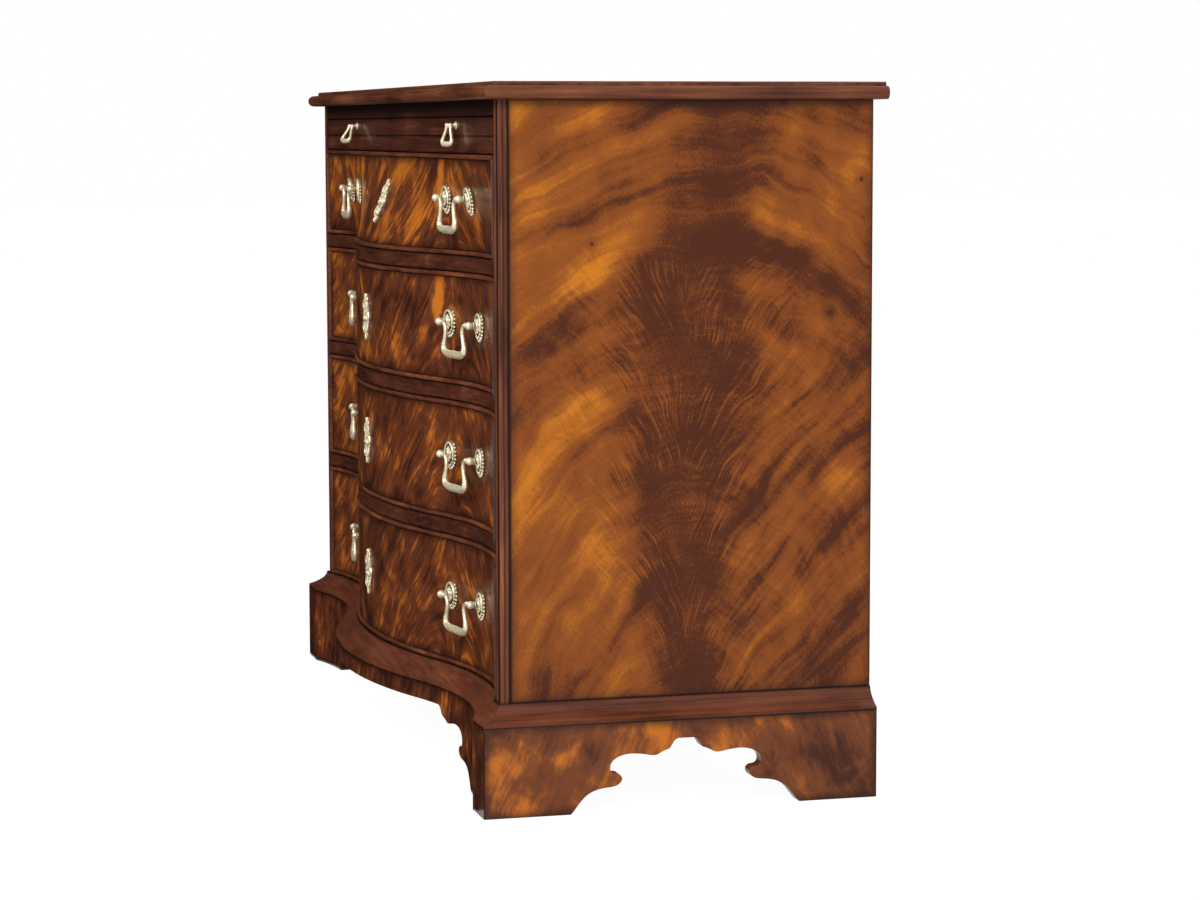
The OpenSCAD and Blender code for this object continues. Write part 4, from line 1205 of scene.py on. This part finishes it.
@dataclass
class Base(Assembly):
    """Base moulding, aprons and bracket feet."""

    ledge: float = 0.12
    lip_h: float = 2.4
    pad_step: float = 0.3
    side_toe: float = 104.0
    side_toe_extra: float = 7.0
    front_toe: float = 157.0
    soft: float = 0.8
    scroll: tuple[Point2, ...] = (
        (0, 0), (4, 4.5), (9, 11), (15, 18), (22, 23.5), (31, 27.5), (42, 29.5), (52, 30.5), (58, 33),
        (61.5, 37), (61.5, 41.5), (58, 45), (52, 46), (48.5, 48.5), (47.5, 53), (49, 58.5), (54, 63.5),
        (62, 67), (73, 68.5), (86, 67.5), (97, 65.5), (104, 65.5), (110, 68.5), (116, 71), (120, 72.5),
        (123, 77), (126, 81.5), (130, 84))

    def moulding(self) -> None:
        """Cove moulding round three sides, mitred at the front corners."""
        c = CHEST
        side, front, h = c.base_side_over, c.base_front_over, c.moulding_h
        cove = [(self.ledge + (1 - self.ledge) * t ** 2, h - (h - self.lip_h) * t)
                for t in (i / 14 for i in range(15))]
        section = [(0.0, 0.0), (0.0, h), (self.ledge * 0.8, h)] + cove + [(1.0, 0.5), (0.985, 0.0)]
        right = [(c.pad_x + self.pad_step, 0.0, 0.0, front), (c.half_w, 0.0, side, front),
                 (c.half_w, c.carcase_d, side, 0.0)]
        stops = [(-x, y, -out, ahead) for x, y, out, ahead in reversed(right)]
        stops += [(x, c.front_y(x), 0.0, c.base_over(x)) for x in stations(c.pad_x)] + right
        piece = Piece("base_moulding")
        piece.sweep(section, stops, lambda p, s: Vector(
            (s[0] + s[2] * p[0], s[1] - s[3] * p[0], c.foot_h + p[1])))
        piece.finish(self.finishes.moulding, "carcase", Slot.STRAIGHT,
                     ["base_moulding_front", "base_moulding_returns"], crease=32)

    def front_apron(self) -> None:
        """Front apron: cut flat, sliced upright and bent to the serpentine."""
        c = CHEST
        toe = c.base_half - self.front_toe
        half = [(toe - du, z) for du, z in spline(self.scroll, 3)]
        outline = [(c.base_half, 0.0), (c.base_half, c.foot_h), (-c.base_half, c.foot_h), (-c.base_half, 0.0)]
        outline += [(-x, z) for x, z in half] + half[::-1]
        piece = Piece("front_apron_dressed")
        bm = piece.bm
        bm.faces.new([bm.verts.new((x, 0.0, z)) for x, z in outline])
        for x in stations(c.pad_x, 90) + [-c.pad_x - self.pad_step, c.pad_x + self.pad_step]:
            bmesh.ops.bisect_plane(bm, geom=bm.verts[:] + bm.edges[:] + bm.faces[:], dist=0.0001,
                                   plane_co=(x, 0, 0), plane_no=(1, 0, 0))
        grown = bmesh.ops.extrude_face_region(bm, geom=bm.faces[:])["geom"]
        inner = {v for v in grown if isinstance(v, bmesh.types.BMVert)}
        for vert in bm.verts:
            x = vert.co.x
            flat = abs(x) > c.pad_x + self.pad_step / 2
            vert.co.y = -c.base_front_over if flat else c.front_y(x) - c.base_over(x)
            if vert in inner:
                vert.co.y += c.apron_t
                if abs(x) > c.base_half - 1:
                    vert.co.x = math.copysign(c.base_half - c.apron_t, x)
        piece.finish(self.finishes.apron, "carcase", Slot.FLAME, ["front_apron"], bevel=self.soft)

    def side_aprons(self) -> None:
        """Side aprons with a foot at each end."""
        c = CHEST
        front, line = -c.base_front_over, spline(self.scroll, 3)
        start, end = front + self.side_toe, c.carcase_d - self.side_toe + self.side_toe_extra
        outline = [(front, 0.0)] + [(start + du, z) for du, z in line]
        outline += [(end - du, z) for du, z in reversed(line)]
        outline += [(c.carcase_d, 0.0), (c.carcase_d, c.foot_h), (front, c.foot_h)]
        piece = Piece("side_aprons_dressed")
        for side in (1, -1):
            for vert in piece.plate([(side * c.base_half, y, z) for y, z in outline]):
                vert.co.x -= side * c.apron_t
                if vert.co.y < front + 1:
                    vert.co.y += c.apron_t
        piece.finish(self.finishes.side_apron, "carcase", Slot.FLAME, ["side_aprons"], bevel=self.soft)

    def build(self) -> None:
        """Builds the base."""
        self.moulding()
        self.front_apron()
        self.side_aprons()


# Drawers

@dataclass
class OnDrawer(Assembly):
    """A sub-assembly on drawer n."""

    n: int

    @property
    def body(self) -> str:
        """Name of the drawer's body, with which its nodes' names start."""
        return f"drawer_{self.n}"

    def seat(self, x: float, z: float, gap: float) -> Matrix:
        """Place of a plate that lies flat on the drawer's face.

        Args:
            x: Where it is across the drawer.
            z: Its height.
            gap: How far it stands off the face.

        Returns:
            The place.
        """
        c, n = CHEST, self.n
        slope = (c.face_y(n, x + 1, z) - c.face_y(n, x - 1, z)) / 2
        lean = math.atan2(c.front_y(x), c.front_h(n)) if n == 1 else 0.0
        return (Matrix.Translation((x, c.face_y(n, x, z), z)) @ Matrix.Rotation(math.atan(slope), 4, "Z")
                @ Matrix.Rotation(lean, 4, "X") @ Matrix.Translation((0, -gap, 0)))


@dataclass
class DrawerFront(OnDrawer):
    """Front of one drawer with its cock beading, and a pocket for its lock."""

    back_in: float = 1.0
    core_in: float = 0.05
    lap: float = 2.0
    lock_half: float = 30.3
    lock_below: float = 16.5
    lock_thin: float = 11.3
    top_lock_below: float = 22.5
    top_lock_thin: float = 10.2

    def panel(self) -> None:
        """Veneered front, rebated for the beading."""
        c, n = CHEST, self.n
        z0, z1, deep, back = c.front_z(n), c.front_top(n), c.cock_deep, c.front_t - self.back_in
        low, high = z0 + c.cock_w, z1 - c.cock_w
        thin = self.top_lock_thin if n == 1 else self.lock_thin
        foot = c.mid_z(n) - (self.top_lock_below if n == 1 else self.lock_below)
        face = [(deep + self.lap, low), (deep + self.lap, high)]
        face += [(0.0, high + (low - high) * i / 8) for i in range(9)]
        core = [(back, z0), (back, z1), (deep, z1), (deep, z0)]
        pocket = [(back, z0), (back, foot), (thin, foot), (thin, z1)] + core[2:]

        def at(p: Point2, x: float) -> Vector:
            """Place of a corner, given as depth and height, at x."""
            return Vector((x, c.face_y(n, x, p[1]) + p[0], p[1]))

        piece = Piece(f"{self.body}_front_dressed")
        piece.sweep(face, stations(c.drawer_half - c.cock_w), at)
        for section, row in zip((core, pocket, core), parted(c.drawer_half - self.core_in, self.lock_half)):
            for vert in piece.sweep(section, row, at):
                vert[piece.tarnish] = 1.0
        piece.finish(self.finishes.drawers[n], self.body, Slot.FLAME, [f"{self.body}_front"])

    def beading(self) -> None:
        """Round-nosed strips along the four edges."""
        c, n = CHEST, self.n
        w, back = c.cock_w - 0.1, c.cock_deep - 0.1
        z0, z1, end, lap = c.front_z(n), c.front_top(n), c.drawer_half, c.cock_w - 0.4
        section = [(back, 0.0)] + arc(w / 2 - c.cock_proud, w / 2, w / 2, 270, 90, 10) + [(back, w)]
        piece = Piece(f"{self.body}_beading_dressed")
        for z in (z0, z1 - w):
            piece.sweep(section, stations(end), lambda p, x: Vector(
                (x, c.face_y(n, x, z + p[1]) + p[0], z + p[1])))
        for side in (1, -1):
            piece.sweep(section, (z0 + lap, z1 - lap), lambda p, z: Vector(
                (side * (end - p[1]), c.face_y(n, end - p[1], z) + p[0], z)))
        piece.finish(self.finishes.beading, self.body, Slot.STRAIGHT, [f"{self.body}_beading"], crease=50)

    def build(self) -> None:
        """Builds the front and its beading."""
        self.panel()
        self.beading()


@dataclass
class Handles(OnDrawer):
    """The two bail handles of one drawer.

    The shape is the right half of a bail in shares of its half width and drop. Shares along a bail
    start at its middle: the knurl is the share that it covers and its depth, and each collar is the
    share at which it sits, its length as a share and its height. Each groove of a post is its
    distance out and half its width.
    """

    x: float = 340.0
    gap: float = 99.0
    rise: float = 8.0
    reach: float = 15.5
    drop: float = 37.6
    rod_r: float = 2.4
    grip_r: float = 4.7
    grip: float = 0.42
    knurl: Point2 = (0.34, 0.5)
    collars: tuple[Point3, ...] = ((0.37, 0.016, 0.55), (0.42, 0.014, 0.4), (0.62, 0.02, 0.3))
    pin_r: float = 2.1
    eye_r: float = 3.1
    knob_r: float = 5.0
    grooves: tuple[Point2, ...] = ((8.6, 0.9), (11.4, 0.4))
    nut_y: float = 24.35
    nut_r: float = 5.0
    nut_t: float = 3.0
    stud_r: float = 2.5
    stud_l: float = 7.0
    rosette_h: float = 36.5
    rosette_w: float = 28.0
    rosette_lower: float = 1.0
    shape: tuple[Point2, ...] = (
        (0.8, 0.0), (0.72, -0.005), (0.63, -0.05), (0.575, -0.15), (0.56, -0.29), (0.595, -0.46),
        (0.65, -0.64), (0.675, -0.8), (0.6, -0.94), (0.36, -1.005), (0.0, -1.0))

    @property
    def z(self) -> float:
        """Height of the posts."""
        return CHEST.mid_z(self.n) + self.rise

    def post_y(self, k: int) -> float:
        """Y of the drawer's face behind the inner (-1) or outer (1) post."""
        return CHEST.face_y(self.n, self.x + k * self.gap / 2, self.z)

    @property
    def half(self) -> float:
        """Half the distance between the posts."""
        return math.hypot(self.gap, self.post_y(1) - self.post_y(-1)) / 2

    def frame(self, side: int) -> Matrix:
        """Place of a handle, with X along the line through its posts."""
        inner, outer = self.post_y(-1), self.post_y(1)
        return (Matrix.Diagonal((side, 1, 1, 1)) @ Matrix.Translation((self.x, (outer + inner) / 2, self.z))
                @ Matrix.Rotation(math.atan2(outer - inner, self.gap), 4, "Z"))

    def rosette(self) -> Piece:
        """Oval casting with a raised rim, a dark dish, leaves round the post's foot and a beaded edge.

        Returns:
            The rosette.
        """
        piece = Piece("rosette")
        w, h = self.rosette_w / 2, self.rosette_h / 2
        profile = [(0.20, 0.2), (0.22, 5.0), (0.30, 5.5), (0.38, 4.9), (0.43, 3.0), (0.49, 1.5), (0.60, 1.1),
                   (0.68, 1.5), (0.72, 3.0), (0.77, 4.1), (0.82, 4.2), (0.87, 3.3), (0.90, 2.0), (0.95, 1.3),
                   (0.95, 0.0)]
        for vert in piece.lathe(profile, 40):
            share = math.hypot(vert.co.x, vert.co.z)
            vert[piece.tarnish] = 1.0 if 0.40 < share < 0.74 else 0.9 if 0.86 < share < 0.97 else 0.05
            vert.co.x *= w
            vert.co.z *= h

        def around(a: float, share: float, lift: float) -> Vector:
            """Place on the oval at an angle in degrees."""
            turn = math.radians(a)
            return Vector((w * share * math.cos(turn), -lift, h * share * math.sin(turn)))

        crest = [around(a, 0.79, 3.9) for a in range(-24, 205, 12)]
        piece.tube(crest, lambda u, a: 1.15 + 0.5 * math.sin(math.pi * u), 8)
        # beads and leaves: angles, share of the oval, lift, radius and stretch
        beads = ((range(-195, 61, 16), 0.94, 1.6, 1.75, (1.5, 0.85, 0.85)),
                 (range(-160, -19, 20), 0.78, 3.6, 1.5, (1.2, 0.9, 0.8)),
                 (range(10, 370, 40), 0.35, 4.6, 1.9, (1.6, 0.8, 0.75)))
        for angles, share, lift, radius, scale in beads:
            for a in angles:
                piece.ball(around(a, share, lift), radius, scale, turn=-math.radians(a))
        for a in (55, 90, 125):
            piece.ball(around(a, 0.58, 1.6), 1.2, (0.9, 0.9, 1.1))
        for vert in piece.bm.verts:
            vert.co.z -= self.rosette_lower
        return piece

    def post(self) -> Piece:
        """Turned post with a cup at its foot, a ring and a ball, and its nut behind the front.

        Returns:
            The post.
        """
        piece = Piece("post")
        profile = [(0.0, -1.0), (3.9, -1.0), (4.4, 4.0), (5.4, 5.2), (5.2, 6.4), (4.2, 7.2), (3.5, 7.8),
                   (3.2, 8.6), (3.3, 9.3), (4.1, 9.8), (4.2, 10.5), (3.4, 11.1), (3.3, 11.6)]
        profile += arc(0.0, self.reach, self.knob_r, -46, 89, 15) + [(0.0, self.reach + self.knob_r)]
        for vert in piece.lathe(profile, 24):
            in_groove = any(abs(vert.co.y + out) < half for out, half in self.grooves)
            vert[piece.tarnish] = 0.75 if in_groove else 0.0
        piece.disc(self.nut_r, self.nut_t, 6, (0.0, self.nut_y, 0.0))
        piece.disc(self.stud_r, self.stud_l, 16, (0.0, self.nut_y, 0.0))
        return piece

    def bail(self) -> Piece:
        """Swan-neck bail with a carved grip, eyes round its pins and small collars.

        Returns:
            The bail.
        """
        piece = Piece("bail")
        end, deep = self.knurl

        def radius(u: float, a: float) -> float:
            """Radius of the bail.

            Args:
                u: Share of its length.
                a: Angle round it.

            Returns:
                The radius.
            """
            v = abs(2 * u - 1)
            swell = max(0.0, 1 - (v / self.grip) ** 2)
            r = self.rod_r + (self.grip_r - self.rod_r) * swell
            if v < end:
                twist = 150 * (u - 0.5)
                r += deep * math.sin(twist + 2 * a) * math.sin(twist - 2 * a) * min(1, swell * 3)
            return r + sum(h * math.exp(-((v - at) / wide) ** 2) for at, wide, h in self.collars)

        piece.tube(loop_path(self.shape, self.half, self.drop, 6), radius, 14)
        start = self.half * self.shape[0][0]
        for side in (1, -1):
            pin = [Vector((side * x, 0, 0)) for x in (start - 0.6, self.half + self.knob_r - 0.9)]
            piece.tube(pin, lambda u, a: self.pin_r, 12)
            piece.ball((side * (start - 0.9), 0, 0.2), self.eye_r, (0.75, 1, 1))
        return piece

    def build(self) -> None:
        """Builds the mounts and the bails of both handles."""
        brass, gap = self.finishes.brass, 0.5 if self.n == 1 else 0.15
        rosette, post, bail = self.rosette(), self.post(), self.bail()
        mounts = Piece(f"{self.body}_mounts")
        for side, word in ((1, "right"), (-1, "left")):
            for k in (1, -1):
                seat = self.seat(self.x + k * self.gap / 2, self.z, gap)
                mounts.add(post, self.frame(side) @ Matrix.Translation((k * self.half, 0, 0)))
                mounts.add(rosette, Matrix.Diagonal((side, 1, 1, 1)) @ seat)
            name = f"{self.body}_bail_{word}"
            piece = Piece(f"{name}_dressed")
            piece.add(bail, self.frame(side) @ Matrix.Translation((0, -self.reach, 0)))
            piece.finish(brass, name, Slot.BRASS, [name])
        mounts.finish(brass, self.body, Slot.BRASS, [f"{self.body}_handles"])


@dataclass
class Escutcheon(OnDrawer):
    """Leafy pierced plate round a keyhole.

    Each curl is a C-scroll's centre, size and turn in degrees, and each row of leaves its first
    place, the step to the next one, its lift and a leaf's radius.
    """

    height: float = 61.5
    width: float = 36.0
    lower: float = 2.0
    gap: float = 0.1
    curls: tuple[tuple[float, ...], ...] = (
        (6.4, 15.0, 7.0, 20.0), (6.6, -14.0, 7.2, -20.0), (10.0, 0.5, 6.0, 180.0))
    rows: tuple[tuple[Point2, Point2, float, float], ...] = (
        ((3.4, 23.0), (0.7, -3.1), 1.8, 1.25), ((2.4, -27.0), (1.1, 2.6), 1.7, 1.2))

    def curl(self, cx: float, cz: float, size: float, turn: float, flip: int) -> list[Vector]:
        """Path of a C-scroll that curls in at both ends."""
        polar = [(math.radians(turn + 165 * t), size * (1 - 0.55 * abs(t) ** 2.2))
                 for t in (i / 16 - 1 for i in range(33))]
        return [Vector((flip * (cx + r * math.cos(a)), -1.9, cz + r * math.sin(a))) for a, r in polar]

    def plate(self) -> Piece:
        """The plate with its scrolls, leaves and beads.

        Returns:
            The plate, flat and facing -Y.
        """
        piece = Piece("plate")
        right = []
        for v in (i / 60 - 0.5 for i in range(61)):
            wave = 0.60 + 0.3 * math.cos(math.radians(365 * v)) + 0.07 * math.cos(math.radians(1800 * v))
            half = self.width / 2 * wave * math.sqrt(max(0.0, 1 - abs(2 * v) ** 5))
            right.append((half * 0.93, 0.0, v * self.height))
        for vert in piece.plate(right + [(-x, y, z) for x, y, z in reversed(right[1:-1])]):
            vert.co = (vert.co.x * 0.94, -1.2, vert.co.z * 0.975)
        for flip in (1, -1):
            for curl in self.curls:
                piece.tube(self.curl(*curl, flip), lambda u, a: 1.25 - 0.5 * abs(2 * u - 1), 8)
            for (x, z), (dx, dz), lift, radius in self.rows:
                for i in range(6):
                    piece.ball((flip * (x + dx * i), -lift, z + dz * i), radius, (0.8, 0.8, 1.5), 1)
            for x, z in ((12.6, 9.2), (12.8, -8.4)):
                piece.ball((flip * x, -1.5, z), 1.9, (1.3, 0.7, 0.9))
        for a in (math.radians(20 * i - 60) for i in range(7)):
            piece.ball((5.6 * math.sin(a), -1.9, 23.0 + 5.2 * math.cos(a)), 1.5, (0.75, 0.8, 1.6), 1)
        piece.ball((0, -1.7, -27.2), 2.2, (0.7, 0.7, 1.5))
        ring = [Vector((3.9 * math.cos(t), -2.0, 4.6 * math.sin(t))) for t in
                (math.tau * i / 24 for i in range(25))]
        piece.tube(ring, lambda u, a: 0.9, 8)
        return piece

    def keyhole(self) -> Piece:
        """Dark round hole over a slot.

        Returns:
            The keyhole.
        """
        piece = Piece("key")
        piece.disc(2.1, 0.6, 20, (0.0, -1.35, 1.0))
        slot = Matrix.Translation((0, -1.35, -1.8)) @ Matrix.Diagonal((1.7, 0.6, 4.6, 1))
        bmesh.ops.create_cube(piece.bm, size=1.0, matrix=slot)
        return piece

    def build(self) -> None:
        """Builds the plate and its keyhole on the drawer."""
        seat = self.seat(0.0, CHEST.mid_z(self.n) - self.lower, self.gap)
        dress = Piece(f"{self.body}_escutcheon_dressed")
        dress.add(self.plate(), seat)
        dress.finish(self.finishes.brass, self.body, Slot.BRASS, [f"{self.body}_escutcheon"])
        hole = Piece(f"{self.body}_keyhole")
        hole.add(self.keyhole(), seat)
        hole.finish(self.finishes.iron, self.body, Slot.IRON)


@dataclass
class SlidePulls(Assembly):
    """Ring pulls of the brushing slide, each hanging from one small post.

    Each place is a side, its X and the angle at which its ring hangs off plumb.
    """

    places: tuple[tuple[str, float, float], ...] = (("right", 344.0, 8.0), ("left", -310.0, 25.0))
    face: float = 1.0
    reach: float = 9.0
    rise: float = 1.0
    knob_r: float = 3.0
    half: float = 11.0
    drop: float = 22.5
    rod_r: float = 1.9
    foot_r: float = 3.1
    pin_r: float = 1.2
    eye_r: float = 2.7
    turn: float = 18.0
    shape: tuple[Point2, ...] = (
        (0.45, 0.07), (0.45, -0.1), (0.49, -0.26), (0.7, -0.47), (0.9, -0.67), (1.0, -0.85), (0.74, -0.985),
        (0.36, -1.0), (0.0, -1.0))

    def post(self) -> Piece:
        """Small turned post on its plate.

        Returns:
            The post.
        """
        piece = Piece("small_post")
        profile = [(0.0, -0.5), (5.2, -0.5), (5.3, 0.6), (4.7, 1.5), (3.5, 1.8), (2.7, 2.4), (2.0, 3.2),
                   (1.8, 4.4), (2.5, 5.0), (2.6, 5.5), (2.0, 6.1)]
        profile += arc(0.0, self.reach, self.knob_r, -48, 84, 11) + [(0.0, self.reach + self.knob_r)]
        piece.lathe(profile, 20)
        return piece

    def ring(self) -> Piece:
        """Pear-shaped ring with knuckles half way down and a thick beaded foot.

        Returns:
            The ring.
        """
        piece = Piece("ring")

        def radius(u: float, a: float) -> float:
            """Radius by the share of the length and the angle; both halves swell to a beaded foot.

            Args:
                u: Share of the ring's length.
                a: Angle round it, which changes nothing.

            Returns:
                The radius.
            """
            swell = max(0.0, 1 - ((2 * u - 1) / 0.5) ** 2)
            beads = 0.4 * math.sin(60 * (u - 0.5)) ** 2 * min(1, swell * 3)
            return self.rod_r + (self.foot_r - self.rod_r) * swell + beads

        piece.tube(loop_path(self.shape, self.half, self.drop, 5), radius, 12)
        eye = self.half * self.shape[0][0]
        piece.tube([Vector((-eye, 0, 0)), Vector((eye, 0, 0))], lambda u, a: self.pin_r, 10)
        for side in (1, -1):
            piece.ball((side * eye, 0, 0.6), self.eye_r, (0.8, 1, 1))
            piece.ball((side * self.half * 0.7, 0, -self.drop * 0.47), 2.5, (1.0, 0.85, 0.75))
            piece.ball((side * self.half * 0.98, 0, -self.drop * 0.86), 2.7, (0.85, 0.9, 1.0))
        piece.ball((0, 0, -self.drop), 3.3, (1.1, 0.95, 0.85))
        return piece

    def build(self) -> None:
        """Builds both pulls."""
        z = CHEST.slide_z + CHEST.slide_open_h / 2 + self.rise
        post, ring = self.post(), self.ring()
        mounts = Piece("slide_pulls_dressed")
        for word, x, lean in self.places:
            mounts.add(post, Matrix.Translation((x, self.face, z)))
            name = f"slide_bail_{word}"
            piece = Piece(f"{name}_dressed")
            piece.add(ring, Matrix.Translation((x, self.face - self.reach, z))
                      @ Matrix.Rotation(math.radians(self.turn), 4, "Z")
                      @ Matrix.Rotation(-math.radians(lean), 4, "X"))
            piece.finish(self.finishes.brass, name, Slot.BRASS, [name])
        mounts.finish(self.finishes.brass, "brushing_slide", Slot.BRASS, ["slide_pulls"])


@dataclass
class CarriedOver(Assembly):
    """Frame nodes that keep their own mesh and only get a finish."""

    nodes: dict[str, bpy.types.Object]

    def build(self) -> None:
        """Gives each node its material."""
        f = self.finishes
        plan = {
            "side_right": f.side, "side_left": f.side, "back_boards": f.pale_z, "carcase_bottom": f.pale_x,
            "frieze_rails": f.across, "dust_boards": f.pale_y, "runners": f.pale_y, "rear_feet": f.pale_x,
            "glue_blocks": f.pale_z, "slide_board": f.across,
        }
        drawer = {"box": f.pale_y, "bottom": f.pale_x, "lock": f.iron, "bolt": f.iron}
        plan.update({f"drawer_{n}_{name}": material for n in DRAWERS for name, material in drawer.items()})
        for name, material in plan.items():
            obj = self.nodes[name]
            if not obj.material_slots:
                obj.data.materials.append(material)
            for slot in obj.material_slots:
                slot.material = material
            log.info("node %s: %s", name, material.name)


@dataclass
class Studio:
    """Camera, lamps, world and floor; lamps and cards are placed in metres."""

    camera_at: Point3 = (4070.6, -811.1, 795.3)
    yaw: float = 14.902
    pitch: float = 5.86
    roll: float = -0.121
    focal_px: float = 3127.83
    photo_px: float = 1200.0
    sensor: float = 36.0
    aim: Point3 = (0.0, 0.0, 0.42)
    sky: float = 0.3
    floor_half: float = 30.0
    floor_glow: float = 1.10
    floor_share: float = 0.88
    card: tuple[Point3, ...] = ((-1.3, 1.5, 0.0), (-1.3, -3.2, 0.0), (-1.3, -3.2, 2.4), (-1.3, 1.5, 2.4))
    mat: tuple[Point3, ...] = ((0.56, -0.19, 0.003), (0.56, -3.2, 0.003), (-4.5, -3.2, 0.003),
                               (-4.5, -0.19, 0.003))

    def camera(self) -> None:
        """Camera of the reference view."""
        a, b, g = (math.radians(v) for v in (self.yaw, self.pitch, self.roll))
        ahead = Vector((-math.cos(a) * math.cos(b), math.sin(a) * math.cos(b), -math.sin(b)))
        right = Vector((math.sin(a), math.cos(a), 0.0))
        up = right.cross(ahead)
        across = right * math.cos(g) + up * math.sin(g)
        high = -right * math.sin(g) + up * math.cos(g)
        data = bpy.data.cameras.new("camera")
        data.sensor_width = self.sensor
        data.lens = self.focal_px * self.sensor / self.photo_px
        data.clip_end = 100.0
        obj = bpy.data.objects.new("camera", data)
        turn = Matrix((across, high, -ahead)).transposed().to_4x4()
        x, y, z = self.camera_at
        obj.matrix_world = Matrix.Translation(Vector((x, y + CHEST.shift_y, z)) * MM) @ turn
        bpy.context.scene.collection.objects.link(obj)
        bpy.context.scene.camera = obj

    def lamp(self, name: str, at: Point3, size: Point2, watts: float) -> None:
        """Soft area lamp that faces the chest.

        Args:
            name: Name of the lamp.
            at: Its place.
            size: Its width and height.
            watts: Its power.
        """
        data = bpy.data.lights.new(name, "AREA")
        data.shape = "RECTANGLE"
        data.size, data.size_y = size
        data.energy = watts
        obj = bpy.data.objects.new(name, data)
        turn = (Vector(self.aim) - Vector(at)).to_track_quat("-Z", "Y").to_matrix().to_4x4()
        obj.matrix_world = Matrix.Translation(at) @ turn
        bpy.context.scene.collection.objects.link(obj)

    def world(self) -> None:
        """White for the camera, and dimmer for everything else."""
        world = bpy.data.worlds.new("studio")
        world.use_nodes = True
        bpy.context.scene.world = world
        tree = Tree(world.node_tree)
        back = tree.nodes["Background"]
        tree.feed(back.inputs["Color"], (1.0, 1.0, 1.0))
        tree.feed(back.inputs["Strength"], tree.seen() * (1.0 - self.sky) + self.sky)

    def sheet(self, name: str, faces: Sequence[Sequence[Point3]], shade: Shade) -> bpy.types.Object:
        """Adds flat faces that belong to the studio.

        Args:
            name: Name of the object.
            faces: Corners of each face.
            shade: Their material.

        Returns:
            The object.
        """
        bm = bmesh.new()
        for corners in faces:
            bm.faces.new([bm.verts.new(corner) for corner in corners])
        obj = placed(name, bm, shade.material)
        return obj

    def floor(self) -> None:
        """Pale floor that shows white and keeps a soft shadow."""
        s = Shade("floor")
        s.set(Base_Color=(0.86, 0.86, 0.86), Roughness=0.9, Specular_IOR_Level=0.1)
        glow = s.node("Emission", {}, {"Color": (1.0, 1.0, 1.0), "Strength": self.floor_glow})
        own = Field(s, s.shader.outputs[0])
        mix = s.node("MixShader", {}, {0: s.seen() * self.floor_share, 1: own, 2: glow})
        s.feed(s.nodes["Material Output"].inputs["Surface"], mix)
        half = self.floor_half
        self.sheet("floor", [[(-half, -half, 0), (half, -half, 0), (half, half, 0), (-half, half, 0)]], s)

    def flags(self) -> None:
        """Black cards, upright to the left and flat before the front, which only reflections meet."""
        s = Shade("flags")
        s.set(Base_Color=(0.01, 0.01, 0.01), Roughness=1.0, Specular_IOR_Level=0.0)
        obj = self.sheet("flags", [self.card, self.mat], s)
        for ray in ("camera", "diffuse", "shadow", "transmission"):
            setattr(obj, f"visible_{ray}", False)

    def build(self) -> None:
        """Sets the studio up."""
        bpy.context.scene.view_settings.view_transform = "Standard"
        self.camera()
        self.world()
        self.floor()
        self.flags()
        self.lamp("key", (3.4, -0.9, 2.4), (2.0, 1.6), 82.0)
        self.lamp("front", (1.0, -3.0, 2.4), (2.4, 1.4), 60.0)
        self.lamp("rim", (0.6, 2.8, 2.4), (1.6, 1.2), 35.0)


def main() -> None:
    """Builds the studio and every piece in order."""
    logging.basicConfig(level=logging.INFO, format="%(message)s")
    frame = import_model()
    Studio().build()
    finishes = Finishes()
    CarriedOver(finishes, frame["nodes"]).build()
    for assembly in (Top, Posts, Rails, Base):
        assembly(finishes).build()
    for n in DRAWERS:
        for assembly in (DrawerFront, Handles, Escutcheon):
            assembly(finishes, n).build()
    SlidePulls(finishes).build()


if __name__ == "__main__":
    main()
